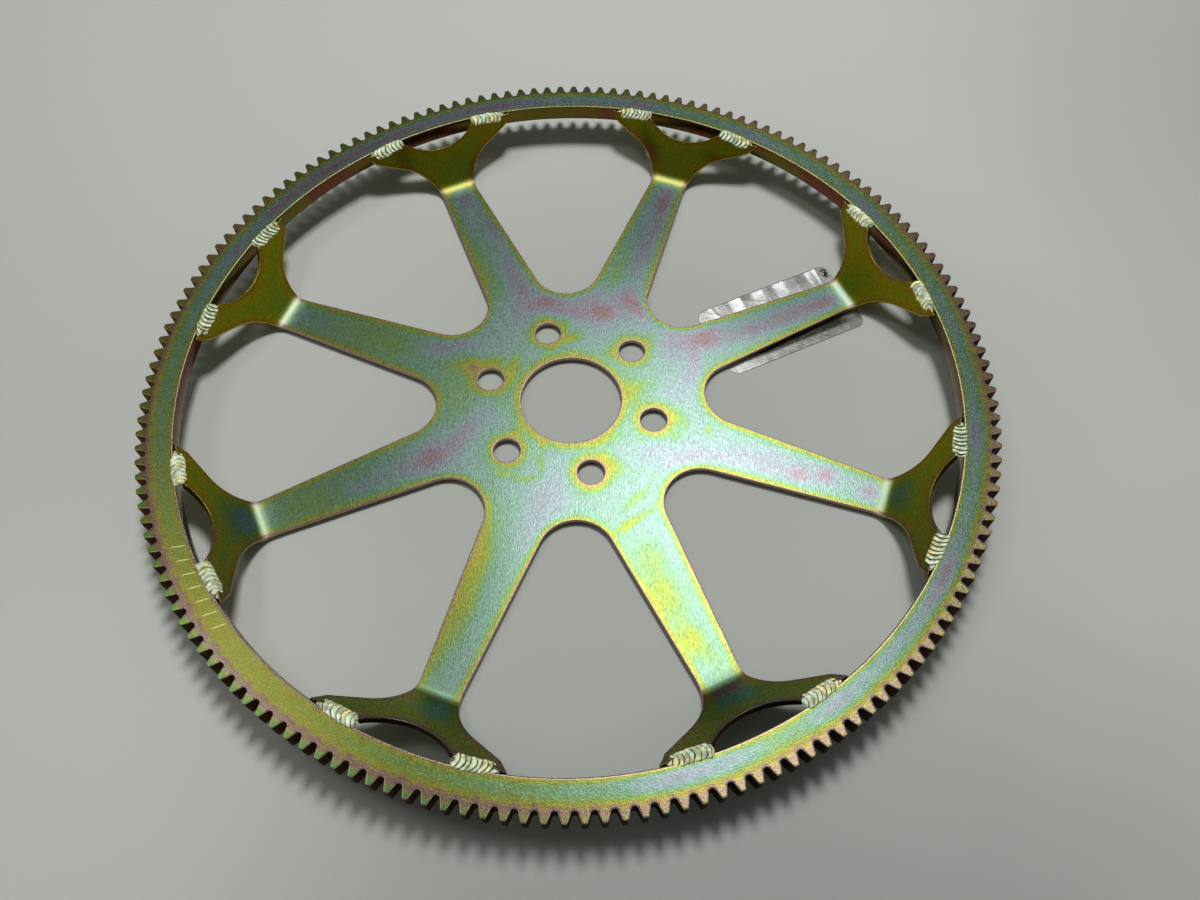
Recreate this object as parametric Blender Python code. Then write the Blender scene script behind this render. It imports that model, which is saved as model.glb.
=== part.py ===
# Welded flexplate: a cut and bent steel spider inside a toothed starter ring.
# It lies dish up. Z = 0 is the surface it lies on, and the Z axis is the crankshaft axis.
import bpy
import bmesh
import numpy as np
from math import acos, asin, atan2, ceil, cos, floor, pi, radians, sin, sqrt, tan

MM = 0.001

# Starter ring (millimetres and degrees)
TEETH = 164
RING_INNER_DIAMETER = 330.2
RING_BODY_WIDTH = 10.9
RING_THICKNESS = 9.5
RING_EDGE_BREAK = 0.5
RING_LOWER_BEVEL = 2.4
PRESSURE_ANGLE = 20.0
ADDENDUM_MODULES = 0.8
DEDENDUM_MODULES = 1.2
TOOTH_THINNING = 0.3
ROOT_ROUNDING = 1.0

# Spider plate
PLATE_THICKNESS = 2.5
PILOT_BORE_DIAMETER = 44.2
BOLT_CIRCLE_DIAMETER = 75.3
BOLT_HOLE_DIAMETER = 11.5
FIRST_BOLT_ANGLE = 41.3
BOLT_SHIFT_ANGLES = (0.0, 3.6, 0.0, 0.0, 0.0, 0.0)
SPOKES = 8
WINDOW_INNER_RADIUS = 59.3
SPOKE_END_WIDTH = 17.2
SPOKE_TAPER = 3.5

# Bend and forked feet
RING_RISE = 17.6
BEND_ANGLE = 41.0
BEND_INSIDE_RADIUS = 5.7
BEND_STEPS = 4
PRONG_TOP_DROP = 0.9
PRONG_WALL_GAP = 1.6
FORK_DEPTH = 7.8
FORK_MOUTH_WIDTH = 35.0
FOOT_SPAN = 72.6
TIP_CORNER_INSET = 2.3
TIP_CORNER_DEPTH = 2.8
PRONG_FLANK_ANGLE = 64.0
FLARE_RADIUS = 22.5

# Weld beads, one on each prong
BEAD_CROWN = 1.2
BEAD_RING_TOE = 0.9
BEAD_PRONG_TOE = 1.4
BEAD_END_INSET = 0.6
BEAD_END_SHARE = 0.35
BEAD_STATIONS = 7

# Foil label caught under the first spoke
LABEL_LENGTH = 70.5
LABEL_WIDTH = 38.5
LABEL_THICKNESS = 0.25
LABEL_CORNER = 5.0
LABEL_BEND_OVERLAP = 4.6
LABEL_SIDE_SHIFT = 1.2

CLEARANCE = 0.3
CHORD_ERROR = 0.03
WELD_DISTANCE = 0.002

# Heights and angles that follow from the sizes above
SPOKE_PITCH = 2 * pi / SPOKES
FIRST_SPOKE = SPOKE_PITCH / 2
TAPER = radians(SPOKE_TAPER)
BEND = radians(BEND_ANGLE)
HALF_PLATE = PLATE_THICKNESS / 2
HUB_UNDERSIDE_Z = LABEL_THICKNESS + CLEARANCE
HUB_MIDDLE_Z = HUB_UNDERSIDE_Z + HALF_PLATE
HUB_TOP_Z = HUB_UNDERSIDE_Z + PLATE_THICKNESS
RING_TOP_Z = HUB_TOP_Z + RING_RISE
RING_RADIUS = RING_INNER_DIAMETER / 2


def clear_scene():
    for obj in list(bpy.data.objects):
        bpy.data.objects.remove(obj)


def make_collection(name):
    group = bpy.data.collections.new(name)
    bpy.context.scene.collection.children.link(group)
    return group


def make_material(name, colour, metallic, roughness):
    material = bpy.data.materials.new(name)
    material.use_nodes = True
    shader = material.node_tree.nodes["Principled BSDF"]
    shader.inputs["Base Color"].default_value = (*colour, 1.0)
    shader.inputs["Metallic"].default_value = metallic
    shader.inputs["Roughness"].default_value = roughness
    return material


# Points along an arc, close enough that no chord leaves it by more than CHORD_ERROR
def arc(centre, radius, start, end):
    step = 2 * acos(1 - min(CHORD_ERROR / radius, 0.5))
    count = max(2, ceil(abs(end - start) / step))
    turn = np.linspace(start, end, count + 1)
    return np.column_stack((centre[0] + radius * np.cos(turn), centre[1] + radius * np.sin(turn)))


def circle(centre, radius):
    return arc(centre, radius, 0.0, 2 * pi)[:-1]


def turned(points, angle):
    return points @ np.array([[cos(angle), sin(angle)], [-sin(angle), cos(angle)]])


# A flat outline with holes: a filled 2D curve of one thickness, made into a closed mesh
def plate_mesh(name, outlines, thickness):
    curve = bpy.data.curves.new(name, "CURVE")
    curve.dimensions = "2D"
    curve.fill_mode = "BOTH"
    curve.extrude = thickness * MM / 2
    for outline in outlines:
        spline = curve.splines.new("POLY")
        spline.points.add(len(outline) - 1)
        flat = np.ones((len(outline), 4))
        flat[:, :2] = outline * MM
        flat[:, 2] = 0.0
        spline.points.foreach_set("co", flat.ravel())
        spline.use_cyclic_u = True
    holder = bpy.data.objects.new(name + "_outline", curve)
    bpy.context.scene.collection.objects.link(holder)
    evaluated = holder.evaluated_get(bpy.context.evaluated_depsgraph_get())
    mesh = bpy.data.meshes.new_from_object(evaluated)
    mesh.name = name
    bpy.data.objects.remove(holder)
    bpy.data.curves.remove(curve)
    shape = bmesh.new()
    shape.from_mesh(mesh)
    bmesh.ops.remove_doubles(shape, verts=shape.verts, dist=WELD_DISTANCE * MM)
    bmesh.ops.recalc_face_normals(shape, faces=shape.faces)
    shape.to_mesh(mesh)
    shape.free()
    return mesh


def add_part(mesh, material, group):
    part = bpy.data.objects.new(mesh.name, mesh)
    mesh.materials.clear()
    mesh.materials.append(material)
    mesh.shade_smooth()
    mesh.set_sharp_from_angle(angle=radians(30))
    group.objects.link(part)
    return part


# Root, pitch, tip and base radius of the teeth, worked outwards from the ring's body
def gear_radii():
    root = RING_RADIUS + RING_BODY_WIDTH
    module = 2 * root / (TEETH - 2 * DEDENDUM_MODULES)
    pitch = module * TEETH / 2
    return root, pitch, pitch + ADDENDUM_MODULES * module, pitch * cos(radians(PRESSURE_ANGLE))


def involute(angle):
    return tan(angle) - angle


# Half the angle that a tooth with involute flanks takes up at one radius
def tooth_half_angle(radius, pitch, base):
    thickness = pi * pitch / TEETH - TOOTH_THINNING
    flank_angle = acos(min(1.0, base / radius))
    return thickness / (2 * pitch) + involute(radians(PRESSURE_ANGLE)) - involute(flank_angle)


# One tooth in polar form, from the middle of a round gap up a flank, over the land and down
def tooth_outline():
    root, pitch, tip, base = gear_radii()
    flank_foot = root + ROOT_ROUNDING
    foot_half = tooth_half_angle(flank_foot, pitch, base)
    sweep = np.radians((90.0, 40.0))
    gap_radii = flank_foot - ROOT_ROUNDING * np.sin(sweep)
    gap_angles = pi / TEETH - (pi / TEETH - foot_half) * np.cos(sweep)
    flank_radii = np.linspace(flank_foot, tip, 3)
    flank_angles = [tooth_half_angle(radius, pitch, base) for radius in flank_radii]
    radii = np.concatenate((gap_radii, flank_radii))
    halves = np.concatenate((gap_angles, flank_angles))
    rising = np.column_stack((radii, -halves))
    falling = np.column_stack((radii, halves))[:0:-1]
    return np.vstack((rising, falling))


def ring_gear(material, group):
    tooth = tooth_outline()
    radii = np.tile(tooth[:, 0], TEETH)
    angles = np.tile(tooth[:, 1], TEETH) + np.repeat(np.arange(TEETH), len(tooth)) * 2 * pi / TEETH
    toothed = np.column_stack((radii * np.cos(angles), radii * np.sin(angles)))
    mouth = circle((0, 0), RING_RADIUS + RING_EDGE_BREAK)
    mesh = plate_mesh("ring_gear", [toothed, mouth], RING_THICKNESS)
    shape = bmesh.new()
    shape.from_mesh(mesh)
    break_inner_edges(shape)
    bmesh.ops.translate(shape, verts=shape.verts, vec=(0, 0, (RING_TOP_Z - RING_THICKNESS / 2) * MM))
    bmesh.ops.triangulate(shape, faces=shape.faces)
    shape.to_mesh(mesh)
    shape.free()
    return add_part(mesh, material, group)


# Cuts the inner wall into three bands and draws the middle one in to the ring's true radius,
# which leaves a broken edge above it. The lowest loop goes out to make the bevel below it.
def break_inner_edges(shape):
    body_middle = (RING_RADIUS + RING_BODY_WIDTH / 2) * MM
    half = RING_THICKNESS / 2
    for height in ((RING_LOWER_BEVEL - half) * MM, (half - RING_EDGE_BREAK) * MM):
        wall = [
            face
            for face in shape.faces
            if abs(face.normal.z) < 0.5 and all(vert.co.xy.length < body_middle for vert in face.verts)
        ]
        edges = {edge for face in wall for edge in face.edges}
        verts = {vert for face in wall for vert in face.verts}
        cut = bmesh.ops.bisect_plane(
            shape,
            geom=list(verts) + list(edges) + wall,
            dist=WELD_DISTANCE * MM,
            plane_co=(0, 0, height),
            plane_no=(0, 0, 1),
        )
        for vert in cut["geom_cut"]:
            if isinstance(vert, bmesh.types.BMVert):
                vert.co.xy *= RING_RADIUS / (RING_RADIUS + RING_EDGE_BREAK)
    for vert in shape.verts:
        if vert.co.z < (RING_LOWER_BEVEL / 2 - half) * MM and vert.co.xy.length < body_middle:
            vert.co.xy *= (RING_RADIUS + RING_LOWER_BEVEL) / (RING_RADIUS + RING_EDGE_BREAK)


# The bend between hub and foot, seen along one spoke. The foot rises so that the top edge of
# its prongs, halfway along the bead, ends PRONG_TOP_DROP under the ring's top face.
class FootBend:
    def __init__(self):
        prong_middle = (FORK_MOUTH_WIDTH + FOOT_SPAN) / 4
        reach = sqrt((RING_RADIUS - PRONG_WALL_GAP) ** 2 - prong_middle**2) - HALF_PLATE * sin(BEND)
        rise = RING_TOP_Z - PRONG_TOP_DROP - HALF_PLATE * cos(BEND) - HUB_MIDDLE_Z
        slope = rise / sin(BEND)
        middle_radius = BEND_INSIDE_RADIUS + HALF_PLATE
        tangent = middle_radius * tan(BEND / 2)
        self.start = reach - slope * cos(BEND) - tangent
        self.end = self.start + middle_radius * BEND
        self.foot_length = slope - tangent
        self.blank_radius = sqrt((self.end + self.foot_length) ** 2 + prong_middle**2)
        self.lean = np.linspace(0, BEND, BEND_STEPS + 1)
        self.creases = self.start + middle_radius * self.lean
        self.radii = self.start + middle_radius * np.sin(self.lean)
        self.heights = HUB_MIDDLE_Z + middle_radius * (1 - np.cos(self.lean))

    # Where a point of the flat blank ends up: along is its distance out along the spoke and
    # above its height over the middle of the sheet. The sheet stays flat between two creases.
    def place(self, along, above):
        run = 2 * self.foot_length
        radii = self.radii - above * np.sin(self.lean)
        heights = self.heights + above * np.cos(self.lean)
        blank = np.concatenate(([0.0], self.creases, [self.end + run]))
        radii = np.concatenate(([0.0], radii, [radii[-1] + run * cos(BEND)]))
        heights = np.concatenate((heights[:1], heights, [heights[-1] + run * sin(BEND)]))
        return np.interp(along, blank, radii), np.interp(along, blank, heights)


# Half of one spoke's outline on the flat blank, from the window's inner end out along the
# spoke, round the prong and into the fork. The spoke lies along X, and this is its +Y side.
def half_spoke(bend):
    window_axis = SPOKE_PITCH / 2
    edge_point = np.array((bend.start, SPOKE_END_WIDTH / 2))
    edge_normal = np.array((sin(TAPER), cos(TAPER)))
    opening = sin(window_axis + TAPER)
    corner_radius = (WINDOW_INNER_RADIUS * opening - edge_point @ edge_normal) / (1 - opening)
    window_reach = WINDOW_INNER_RADIUS + corner_radius
    window_centre = (window_reach * cos(window_axis), window_reach * sin(window_axis))
    spoke_side = -pi / 2 - TAPER
    window_end = arc(window_centre, corner_radius, window_axis - pi, spoke_side)

    corner_y = FOOT_SPAN / 2 - TIP_CORNER_INSET
    corner_x = sqrt((bend.blank_radius - TIP_CORNER_DEPTH) ** 2 - corner_y**2)
    tip_corner = np.array((corner_x, corner_y))
    flank = radians(PRONG_FLANK_ANGLE)
    flank_normal = np.array((-sin(flank), cos(flank)))
    normals = np.array((edge_normal, flank_normal))
    offsets = np.array((edge_point @ edge_normal, tip_corner @ flank_normal)) + FLARE_RADIUS
    flare_centre = np.linalg.solve(normals, offsets)
    flare = arc(flare_centre, FLARE_RADIUS, spoke_side, flank - pi / 2)

    tip_angle = asin(FOOT_SPAN / 2 / bend.blank_radius)
    mouth_angle = asin(FORK_MOUTH_WIDTH / 2 / bend.blank_radius)
    outer_edge = arc((0, 0), bend.blank_radius, tip_angle, mouth_angle)

    half_mouth = FORK_MOUTH_WIDTH / 2
    fork_bottom = bend.blank_radius - FORK_DEPTH
    fork_rise = outer_edge[-1][0] - fork_bottom
    fork_radius = (half_mouth**2 + fork_rise**2) / (2 * fork_rise)
    mouth_turn = atan2(half_mouth, fork_rise - fork_radius)
    fork = arc((fork_bottom + fork_radius, 0), fork_radius, mouth_turn, pi)[1:]
    return np.vstack((window_end, flare, tip_corner, outer_edge, fork))


# Six even holes, one of them shifted so that the plate bolts up one way only
def bolt_angles():
    bolts = len(BOLT_SHIFT_ANGLES)
    return np.radians(FIRST_BOLT_ANGLE + np.arange(bolts) * 360 / bolts + BOLT_SHIFT_ANGLES)


def spider_blank(bend):
    half = half_spoke(bend)
    whole = np.vstack((half * (1, -1), half[-2:0:-1]))
    outline = np.vstack([turned(whole, FIRST_SPOKE + k * SPOKE_PITCH) for k in range(SPOKES)])
    holes = [circle((0, 0), PILOT_BORE_DIAMETER / 2)]
    reach = BOLT_CIRCLE_DIAMETER / 2
    for angle in bolt_angles():
        holes.append(circle((reach * cos(angle), reach * sin(angle)), BOLT_HOLE_DIAMETER / 2))
    return plate_mesh("spider_plate", [outline] + holes, PLATE_THICKNESS)


# Cuts the blank's faces along the creases of every foot, so that they can fold there
def crease_feet(shape, bend):
    for k in range(SPOKES):
        angle = FIRST_SPOKE + k * SPOKE_PITCH
        outward = np.array((cos(angle), sin(angle), 0.0))
        sideways = np.array((-sin(angle), cos(angle), 0.0))

        def on_foot(vert):
            out = np.dot(vert.co, outward)
            return out > bend.start * MM and abs(np.dot(vert.co, sideways)) < out * tan(SPOKE_PITCH / 2)

        for crease in bend.creases:
            faces = [face for face in shape.faces if any(on_foot(vert) for vert in face.verts)]
            edges = {edge for face in faces for edge in face.edges}
            verts = {vert for face in faces for vert in face.verts}
            bmesh.ops.bisect_plane(
                shape,
                geom=list(verts) + list(edges) + faces,
                dist=WELD_DISTANCE * MM,
                plane_co=outward * crease * MM,
                plane_no=outward,
            )


# Folds the feet up: each point moves in the plane of its nearest spoke
def fold_feet(shape, bend):
    for vert in shape.verts:
        spoke = floor(atan2(vert.co.y, vert.co.x) / SPOKE_PITCH)
        angle = FIRST_SPOKE + spoke * SPOKE_PITCH
        along = (vert.co.x * cos(angle) + vert.co.y * sin(angle)) / MM
        side = vert.co.y * cos(angle) - vert.co.x * sin(angle)
        out, height = bend.place(along, vert.co.z / MM)
        vert.co = (
            out * MM * cos(angle) - side * sin(angle),
            out * MM * sin(angle) + side * cos(angle),
            height * MM,
        )


def spider_plate(bend, material, group):
    mesh = spider_blank(bend)
    shape = bmesh.new()
    shape.from_mesh(mesh)
    crease_feet(shape, bend)
    bmesh.ops.triangulate(shape, faces=shape.faces)
    fold_feet(shape, bend)
    bmesh.ops.recalc_face_normals(shape, faces=shape.faces)
    shape.to_mesh(mesh)
    shape.free()
    return add_part(mesh, material, group)


# Section of a bead at one distance to the side of the spoke: (outwards, up) points that run
# under it along the prong, down into the gap, up the ring's wall and back over the crown
def bead_section(bend, side, fullness):
    wall = sqrt(RING_RADIUS**2 - side**2)
    blank_edge = sqrt(bend.blank_radius**2 - side**2)
    top_x, top_z = bend.place(blank_edge, HALF_PLATE)
    low_x, low_z = bend.place(blank_edge, -HALF_PLATE)
    gap = CLEARANCE
    corner = gap * tan(pi / 8)
    lift = gap / cos(BEND)
    crown = BEAD_CROWN * fullness
    toe_x = top_x - BEAD_PRONG_TOE * fullness
    toe_z = top_z - (top_x - toe_x) * tan(BEND) + lift
    shoulder_x = top_x - 0.4 * (top_x - toe_x)
    shoulder_z = top_z - (top_x - shoulder_x) * tan(BEND) + lift + crown
    ring_toe = wall + RING_EDGE_BREAK + BEAD_RING_TOE * fullness
    return (
        (toe_x, toe_z),
        (top_x + gap * (cos(BEND) - sin(BEND)), top_z + gap * (cos(BEND) + sin(BEND))),
        (low_x + gap * cos(BEND), low_z + gap * sin(BEND)),
        (wall - gap, low_z + gap * sin(BEND)),
        (wall - gap, RING_TOP_Z - RING_EDGE_BREAK + corner),
        (wall + RING_EDGE_BREAK - corner, RING_TOP_Z + gap),
        (ring_toe, RING_TOP_Z + gap),
        ((ring_toe + wall) / 2, RING_TOP_Z + gap + 0.6 * crown),
        ((wall + top_x) / 2, RING_TOP_Z + gap + crown),
        (shoulder_x, shoulder_z),
    )


def bead_mesh(bend, hand):
    inner = FORK_MOUTH_WIDTH / 2 + BEAD_END_INSET
    outer = FOOT_SPAN / 2 - BEAD_END_INSET
    shape = bmesh.new()
    rings = []
    for share in np.linspace(0, 1, BEAD_STATIONS):
        side = inner + share * (outer - inner)
        fullness = BEAD_END_SHARE + (1 - BEAD_END_SHARE) * sin(pi * share) ** 0.5
        section = bead_section(bend, side, fullness)
        rings.append([shape.verts.new((x * MM, hand * side * MM, z * MM)) for x, z in section])
    for near, far in zip(rings, rings[1:]):
        for k in range(len(near)):
            after = (k + 1) % len(near)
            shape.faces.new((near[k], near[after], far[after], far[k]))
    shape.faces.new(rings[0])
    shape.faces.new(rings[-1])
    bmesh.ops.triangulate(shape, faces=shape.faces)
    bmesh.ops.recalc_face_normals(shape, faces=shape.faces)
    mesh = bpy.data.meshes.new("weld_bead")
    shape.to_mesh(mesh)
    shape.free()
    return mesh


def weld_beads(bend, material, group):
    for side, hand in enumerate((-1, 1)):
        mesh = bead_mesh(bend, hand)
        for k in range(SPOKES):
            bead = add_part(mesh, material, group)
            bead.name = f"weld_bead_{2 * k + side + 1:02d}"
            bead.rotation_euler.z = FIRST_SPOKE + k * SPOKE_PITCH


def foil_label(bend, material, group):
    half_length = LABEL_LENGTH / 2 - LABEL_CORNER
    half_width = LABEL_WIDTH / 2 - LABEL_CORNER
    corners = []
    for k, (x, y) in enumerate(((1, 1), (-1, 1), (-1, -1), (1, -1))):
        centre = (x * half_length, y * half_width)
        corners.append(arc(centre, LABEL_CORNER, k * pi / 2, (k + 1) * pi / 2))
    middle = bend.start + LABEL_BEND_OVERLAP - LABEL_LENGTH / 2
    outline = np.vstack(corners) + (middle, LABEL_SIDE_SHIFT)
    label = add_part(plate_mesh("foil_label", [outline], LABEL_THICKNESS), material, group)
    label.location.z = LABEL_THICKNESS / 2 * MM
    label.rotation_euler.z = FIRST_SPOKE
    return label


def main():
    clear_scene()
    group = make_collection("flexplate")
    plated = make_material("yellow_zinc_steel", (0.46, 0.52, 0.34), 1.0, 0.36)
    ring_steel = make_material("yellow_zinc_ring", (0.42, 0.44, 0.24), 1.0, 0.34)
    weld = make_material("plated_weld", (0.74, 0.74, 0.55), 1.0, 0.28)
    foil = make_material("silver_foil", (0.72, 0.72, 0.72), 1.0, 0.3)
    bend = FootBend()
    ring_gear(ring_steel, group)
    spider_plate(bend, plated, group)
    weld_beads(bend, weld, group)
    foil_label(bend, foil, group)


main()
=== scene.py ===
# Welded flexplate with a yellow zinc finish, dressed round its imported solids
import bpy
import bmesh
import numpy as np
from math import asin, atan2, cos, pi, radians, sin, sqrt, tan
from mathutils import Matrix, Vector


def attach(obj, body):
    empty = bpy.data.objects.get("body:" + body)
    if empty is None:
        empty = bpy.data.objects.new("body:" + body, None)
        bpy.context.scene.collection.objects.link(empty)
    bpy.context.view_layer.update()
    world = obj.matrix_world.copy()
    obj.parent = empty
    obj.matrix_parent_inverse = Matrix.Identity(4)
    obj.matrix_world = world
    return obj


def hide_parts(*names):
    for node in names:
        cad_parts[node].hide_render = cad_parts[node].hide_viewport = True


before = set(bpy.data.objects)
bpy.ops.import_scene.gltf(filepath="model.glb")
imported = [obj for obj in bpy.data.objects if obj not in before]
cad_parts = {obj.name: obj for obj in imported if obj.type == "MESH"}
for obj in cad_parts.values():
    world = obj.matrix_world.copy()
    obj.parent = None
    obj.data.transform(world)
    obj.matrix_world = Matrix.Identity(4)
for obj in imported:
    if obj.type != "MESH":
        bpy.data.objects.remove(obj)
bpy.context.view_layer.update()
scene = bpy.context.scene
mm = 0.001
print("frame loaded with", len(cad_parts), "nodes")


# It stands where the photographer stood, 30 degrees off the vertical over the near edge
camera = {
    "place": (2.03, -235.72, 369.28),
    "turn": -2.4,
    "tilt": 29.78,
    "roll": -0.115,
    "lens": 29.587,
    "sensor": 36.0,
    "nearest": 0.01,
    "furthest": 50,
}


# Its matrix: the place in mm, then a turn about Z, a tilt about X and a roll about Y
def makeCamera(p):
    data = bpy.data.cameras.new("photoCamera")
    data.lens = p["lens"]
    data.sensor_width = p["sensor"]
    data.sensor_fit = "HORIZONTAL"
    data.clip_start = p["nearest"]
    data.clip_end = p["furthest"]
    holder = bpy.data.objects.new("photoCamera", data)
    scene.collection.objects.link(holder)
    turn = Matrix.Rotation(radians(p["turn"]), 4, "Z")
    tilt = Matrix.Rotation(radians(p["tilt"]), 4, "X")
    roll = Matrix.Rotation(radians(p["roll"]), 4, "Y")
    place = Matrix.Translation(Vector(p["place"]) * mm)
    holder.matrix_world = place @ turn @ tilt @ roll
    scene.camera = holder


makeCamera(camera)
print("camera placed")


# Quads of a grid of rows by columns, counted from first; a closed side joins its last to its first
def gridQuads(rows, columns, first=0, closeRows=False, closeColumns=False, flip=False):
    r = np.arange(rows if closeRows else rows - 1)
    c = np.arange(columns if closeColumns else columns - 1)
    r, c = np.meshgrid(r, c, indexing="ij")
    r2, c2 = (r + 1) % rows, (c + 1) % columns
    corners = (r * columns + c, r * columns + c2, r2 * columns + c2, r2 * columns + c)
    if flip:
        corners = corners[::-1]
    return first + np.stack(corners, -1).reshape(-1, 4)


# A mesh from rows of points, and rows of the four point numbers of each face
def meshFrom(name, points, quads):
    mesh = bpy.data.meshes.new(name)
    mesh.from_pydata(np.asarray(points, float).tolist(), [], np.asarray(quads).tolist())
    return mesh


# Merges points that coincide and turns every face outwards
def closeMesh(mesh, reach):
    shape = bmesh.new()
    shape.from_mesh(mesh)
    bmesh.ops.remove_doubles(shape, verts=shape.verts, dist=reach)
    bmesh.ops.dissolve_degenerate(shape, edges=shape.edges, dist=reach / 4)
    bmesh.ops.recalc_face_normals(shape, faces=shape.faces)
    openEdges = sum(1 for edge in shape.edges if not edge.is_manifold)
    shape.to_mesh(mesh)
    shape.free()
    print(mesh.name, len(mesh.vertices), "points,", openEdges, "open edges")


# The mesh's points as rows of x, y and z
def readPoints(mesh):
    flat = np.empty(len(mesh.vertices) * 3)
    mesh.vertices.foreach_get("co", flat)
    return flat.reshape(-1, 3)


# Puts rows of x, y and z back into the mesh
def writePoints(mesh, points):
    mesh.vertices.foreach_set("co", np.ascontiguousarray(points, dtype=np.float32).ravel())
    mesh.update()


# Gives every point of the mesh one named number for the materials
def writeAttribute(mesh, name, values):
    layer = mesh.attributes.new(name, "FLOAT", "POINT")
    layer.data.foreach_set("value", np.ascontiguousarray(values, dtype=np.float32))


# The mesh as a smooth piece on the one body, which stands for its CAD nodes
def addPiece(name, mesh, material, slotName, *nodes):
    mesh.materials.append(material)
    mesh.shade_smooth()
    piece = bpy.data.objects.new(name, mesh)
    scene.collection.objects.link(piece)
    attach(piece, "root")
    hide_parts(*nodes)


# Eased from 0 below low to 1 above high
def eased(x, low, high):
    share = np.clip((np.asarray(x, float) - low) / (high - low), 0, 1)
    return share * share * (3 - 2 * share)


# Points of an arc round a centre, at the given angles
def arcPoints(centre, radius, angles):
    angles = np.asarray(angles, float)
    return np.stack((centre[0] + radius * np.cos(angles), centre[1] + radius * np.sin(angles)), -1)


# Outward corner vectors of an open line whose solid lies on its right: a point minus the
# vector times a distance is the matching point of the line moved inwards by that distance
def cornerVectors(line, firstVector, lastVector):
    along = np.diff(line, axis=0)
    along /= np.linalg.norm(along, axis=1)[:, None]
    left = np.stack((-along[:, 1], along[:, 0]), -1)
    both = left[:-1] + left[1:]
    vectors = both / (1 + np.sum(left[:-1] * left[1:], axis=1))[:, None]
    return np.vstack((firstVector, vectors, lastVector))


# Shares of the way across each row: close together near both ends and even between
def rowShares(lengths, rim, middle):
    lengths = np.asarray(lengths, float)[:, None]
    near = np.asarray(rim)[None, :] / lengths
    far = 1 - near[:, ::-1]
    steps = np.linspace(0, 1, middle + 1)[None, 1:-1]
    between = near[:, -1:] + (far[:, :1] - near[:, -1:]) * steps
    return np.hstack((near, between, far))


# Coons patch: rows run from the inner side to the outer side, and the first and last row
# follow their own curves, whose bulge dies away towards the other end
def coonsPatch(inner, outer, shares, firstRow=None, lastRow=None):
    across = shares[..., None]
    surface = (1 - across) * inner[:, None, :] + across * outer[:, None, :]
    rows = len(inner)
    if firstRow is not None:
        fade = np.linspace(1, 0, rows)[:, None, None] ** 3
        surface = surface + fade * (firstRow - surface[0])[None]
    if lastRow is not None:
        fade = np.linspace(0, 1, rows)[:, None, None] ** 3
        surface = surface + fade * (lastRow - surface[-1])[None]
    return surface


# Film colours in the order in which the zinc finish runs through them, from its thin edge
film = {
    "stops": (
        (0.00, (0.66, 0.43, 0.29)),
        (0.08, (0.88, 0.72, 0.28)),
        (0.17, (0.88, 0.84, 0.15)),
        (0.27, (0.70, 0.88, 0.18)),
        (0.40, (0.54, 0.88, 0.37)),
        (0.52, (0.50, 0.88, 0.58)),
        (0.64, (0.60, 0.88, 0.80)),
        (0.75, (0.66, 0.80, 0.86)),
        (0.85, (0.73, 0.68, 0.80)),
        (0.93, (0.74, 0.58, 0.64)),
        (1.00, (0.72, 0.53, 0.50)),
    ),
}


# Gives a socket its value: a number, a colour or direction, or another node's output
def feed(tree, socket, value):
    if isinstance(value, (int, float)):
        socket.default_value = value
    elif isinstance(value, tuple):
        socket.default_value = (*value, 1)[:len(socket.default_value)]
    else:
        tree.links.new(value, socket)


# A new node with its settings, and its inputs fed by name or number
def put(tree, kind, inputs=(), **settings):
    node = tree.nodes.new(kind)
    for key, value in settings.items():
        setattr(node, key, value)
    for key, value in dict(inputs).items():
        feed(tree, node.inputs[key], value)
    return node


# A new material, its node tree, and a socket that gives the place on the piece
def newMaterial(name):
    material = bpy.data.materials.new(name)
    material.use_nodes = True
    tree = material.node_tree
    return material, tree, put(tree, "ShaderNodeTexCoord").outputs["Object"]


# Joins a finish to the shader, by the names of the shader's own sockets
def finishWith(tree, finish):
    shader = tree.nodes["Principled BSDF"]
    for name, value in finish.items():
        feed(tree, shader.inputs[name], value)


# One maths node: each of its inputs is a number or another node's output
def maths(tree, operation, *inputs, clamp=False):
    numbered = dict(enumerate(inputs))
    return put(tree, "ShaderNodeMath", numbered, operation=operation, use_clamp=clamp).outputs[0]


# A base number plus each value times its amount; clamp keeps the last sum from 0 to 1
def summed(tree, base, *layers, clamp=False):
    for number, (value, amount) in enumerate(layers, 1):
        atEnd = number == len(layers)
        base = maths(tree, "MULTIPLY_ADD", value, amount, base, clamp=clamp and atEnd)
    return base


# All the numbers multiplied together, in order
def product(tree, first, *others):
    for other in others:
        first = maths(tree, "MULTIPLY", first, other)
    return first


# A number between first and second: first plus share times their difference
def mixed(tree, share, first, second):
    return summed(tree, first, (share, maths(tree, "SUBTRACT", second, first)))


# The x, y and z of a place or direction
def coordinates(tree, place):
    return put(tree, "ShaderNodeSeparateXYZ", {0: place}).outputs


# Distance from a middle in half sizes: the root of the squared share along x plus that along y
def ovalDistance(tree, x, y, middle, half):
    dx = maths(tree, "MULTIPLY_ADD", x, 1 / half[0], -middle[0] / half[0])
    dy = maths(tree, "MULTIPLY_ADD", y, 1 / half[1], -middle[1] / half[1])
    return maths(tree, "SQRT", maths(tree, "MULTIPLY_ADD", dy, dy, product(tree, dx, dx)))


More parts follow.
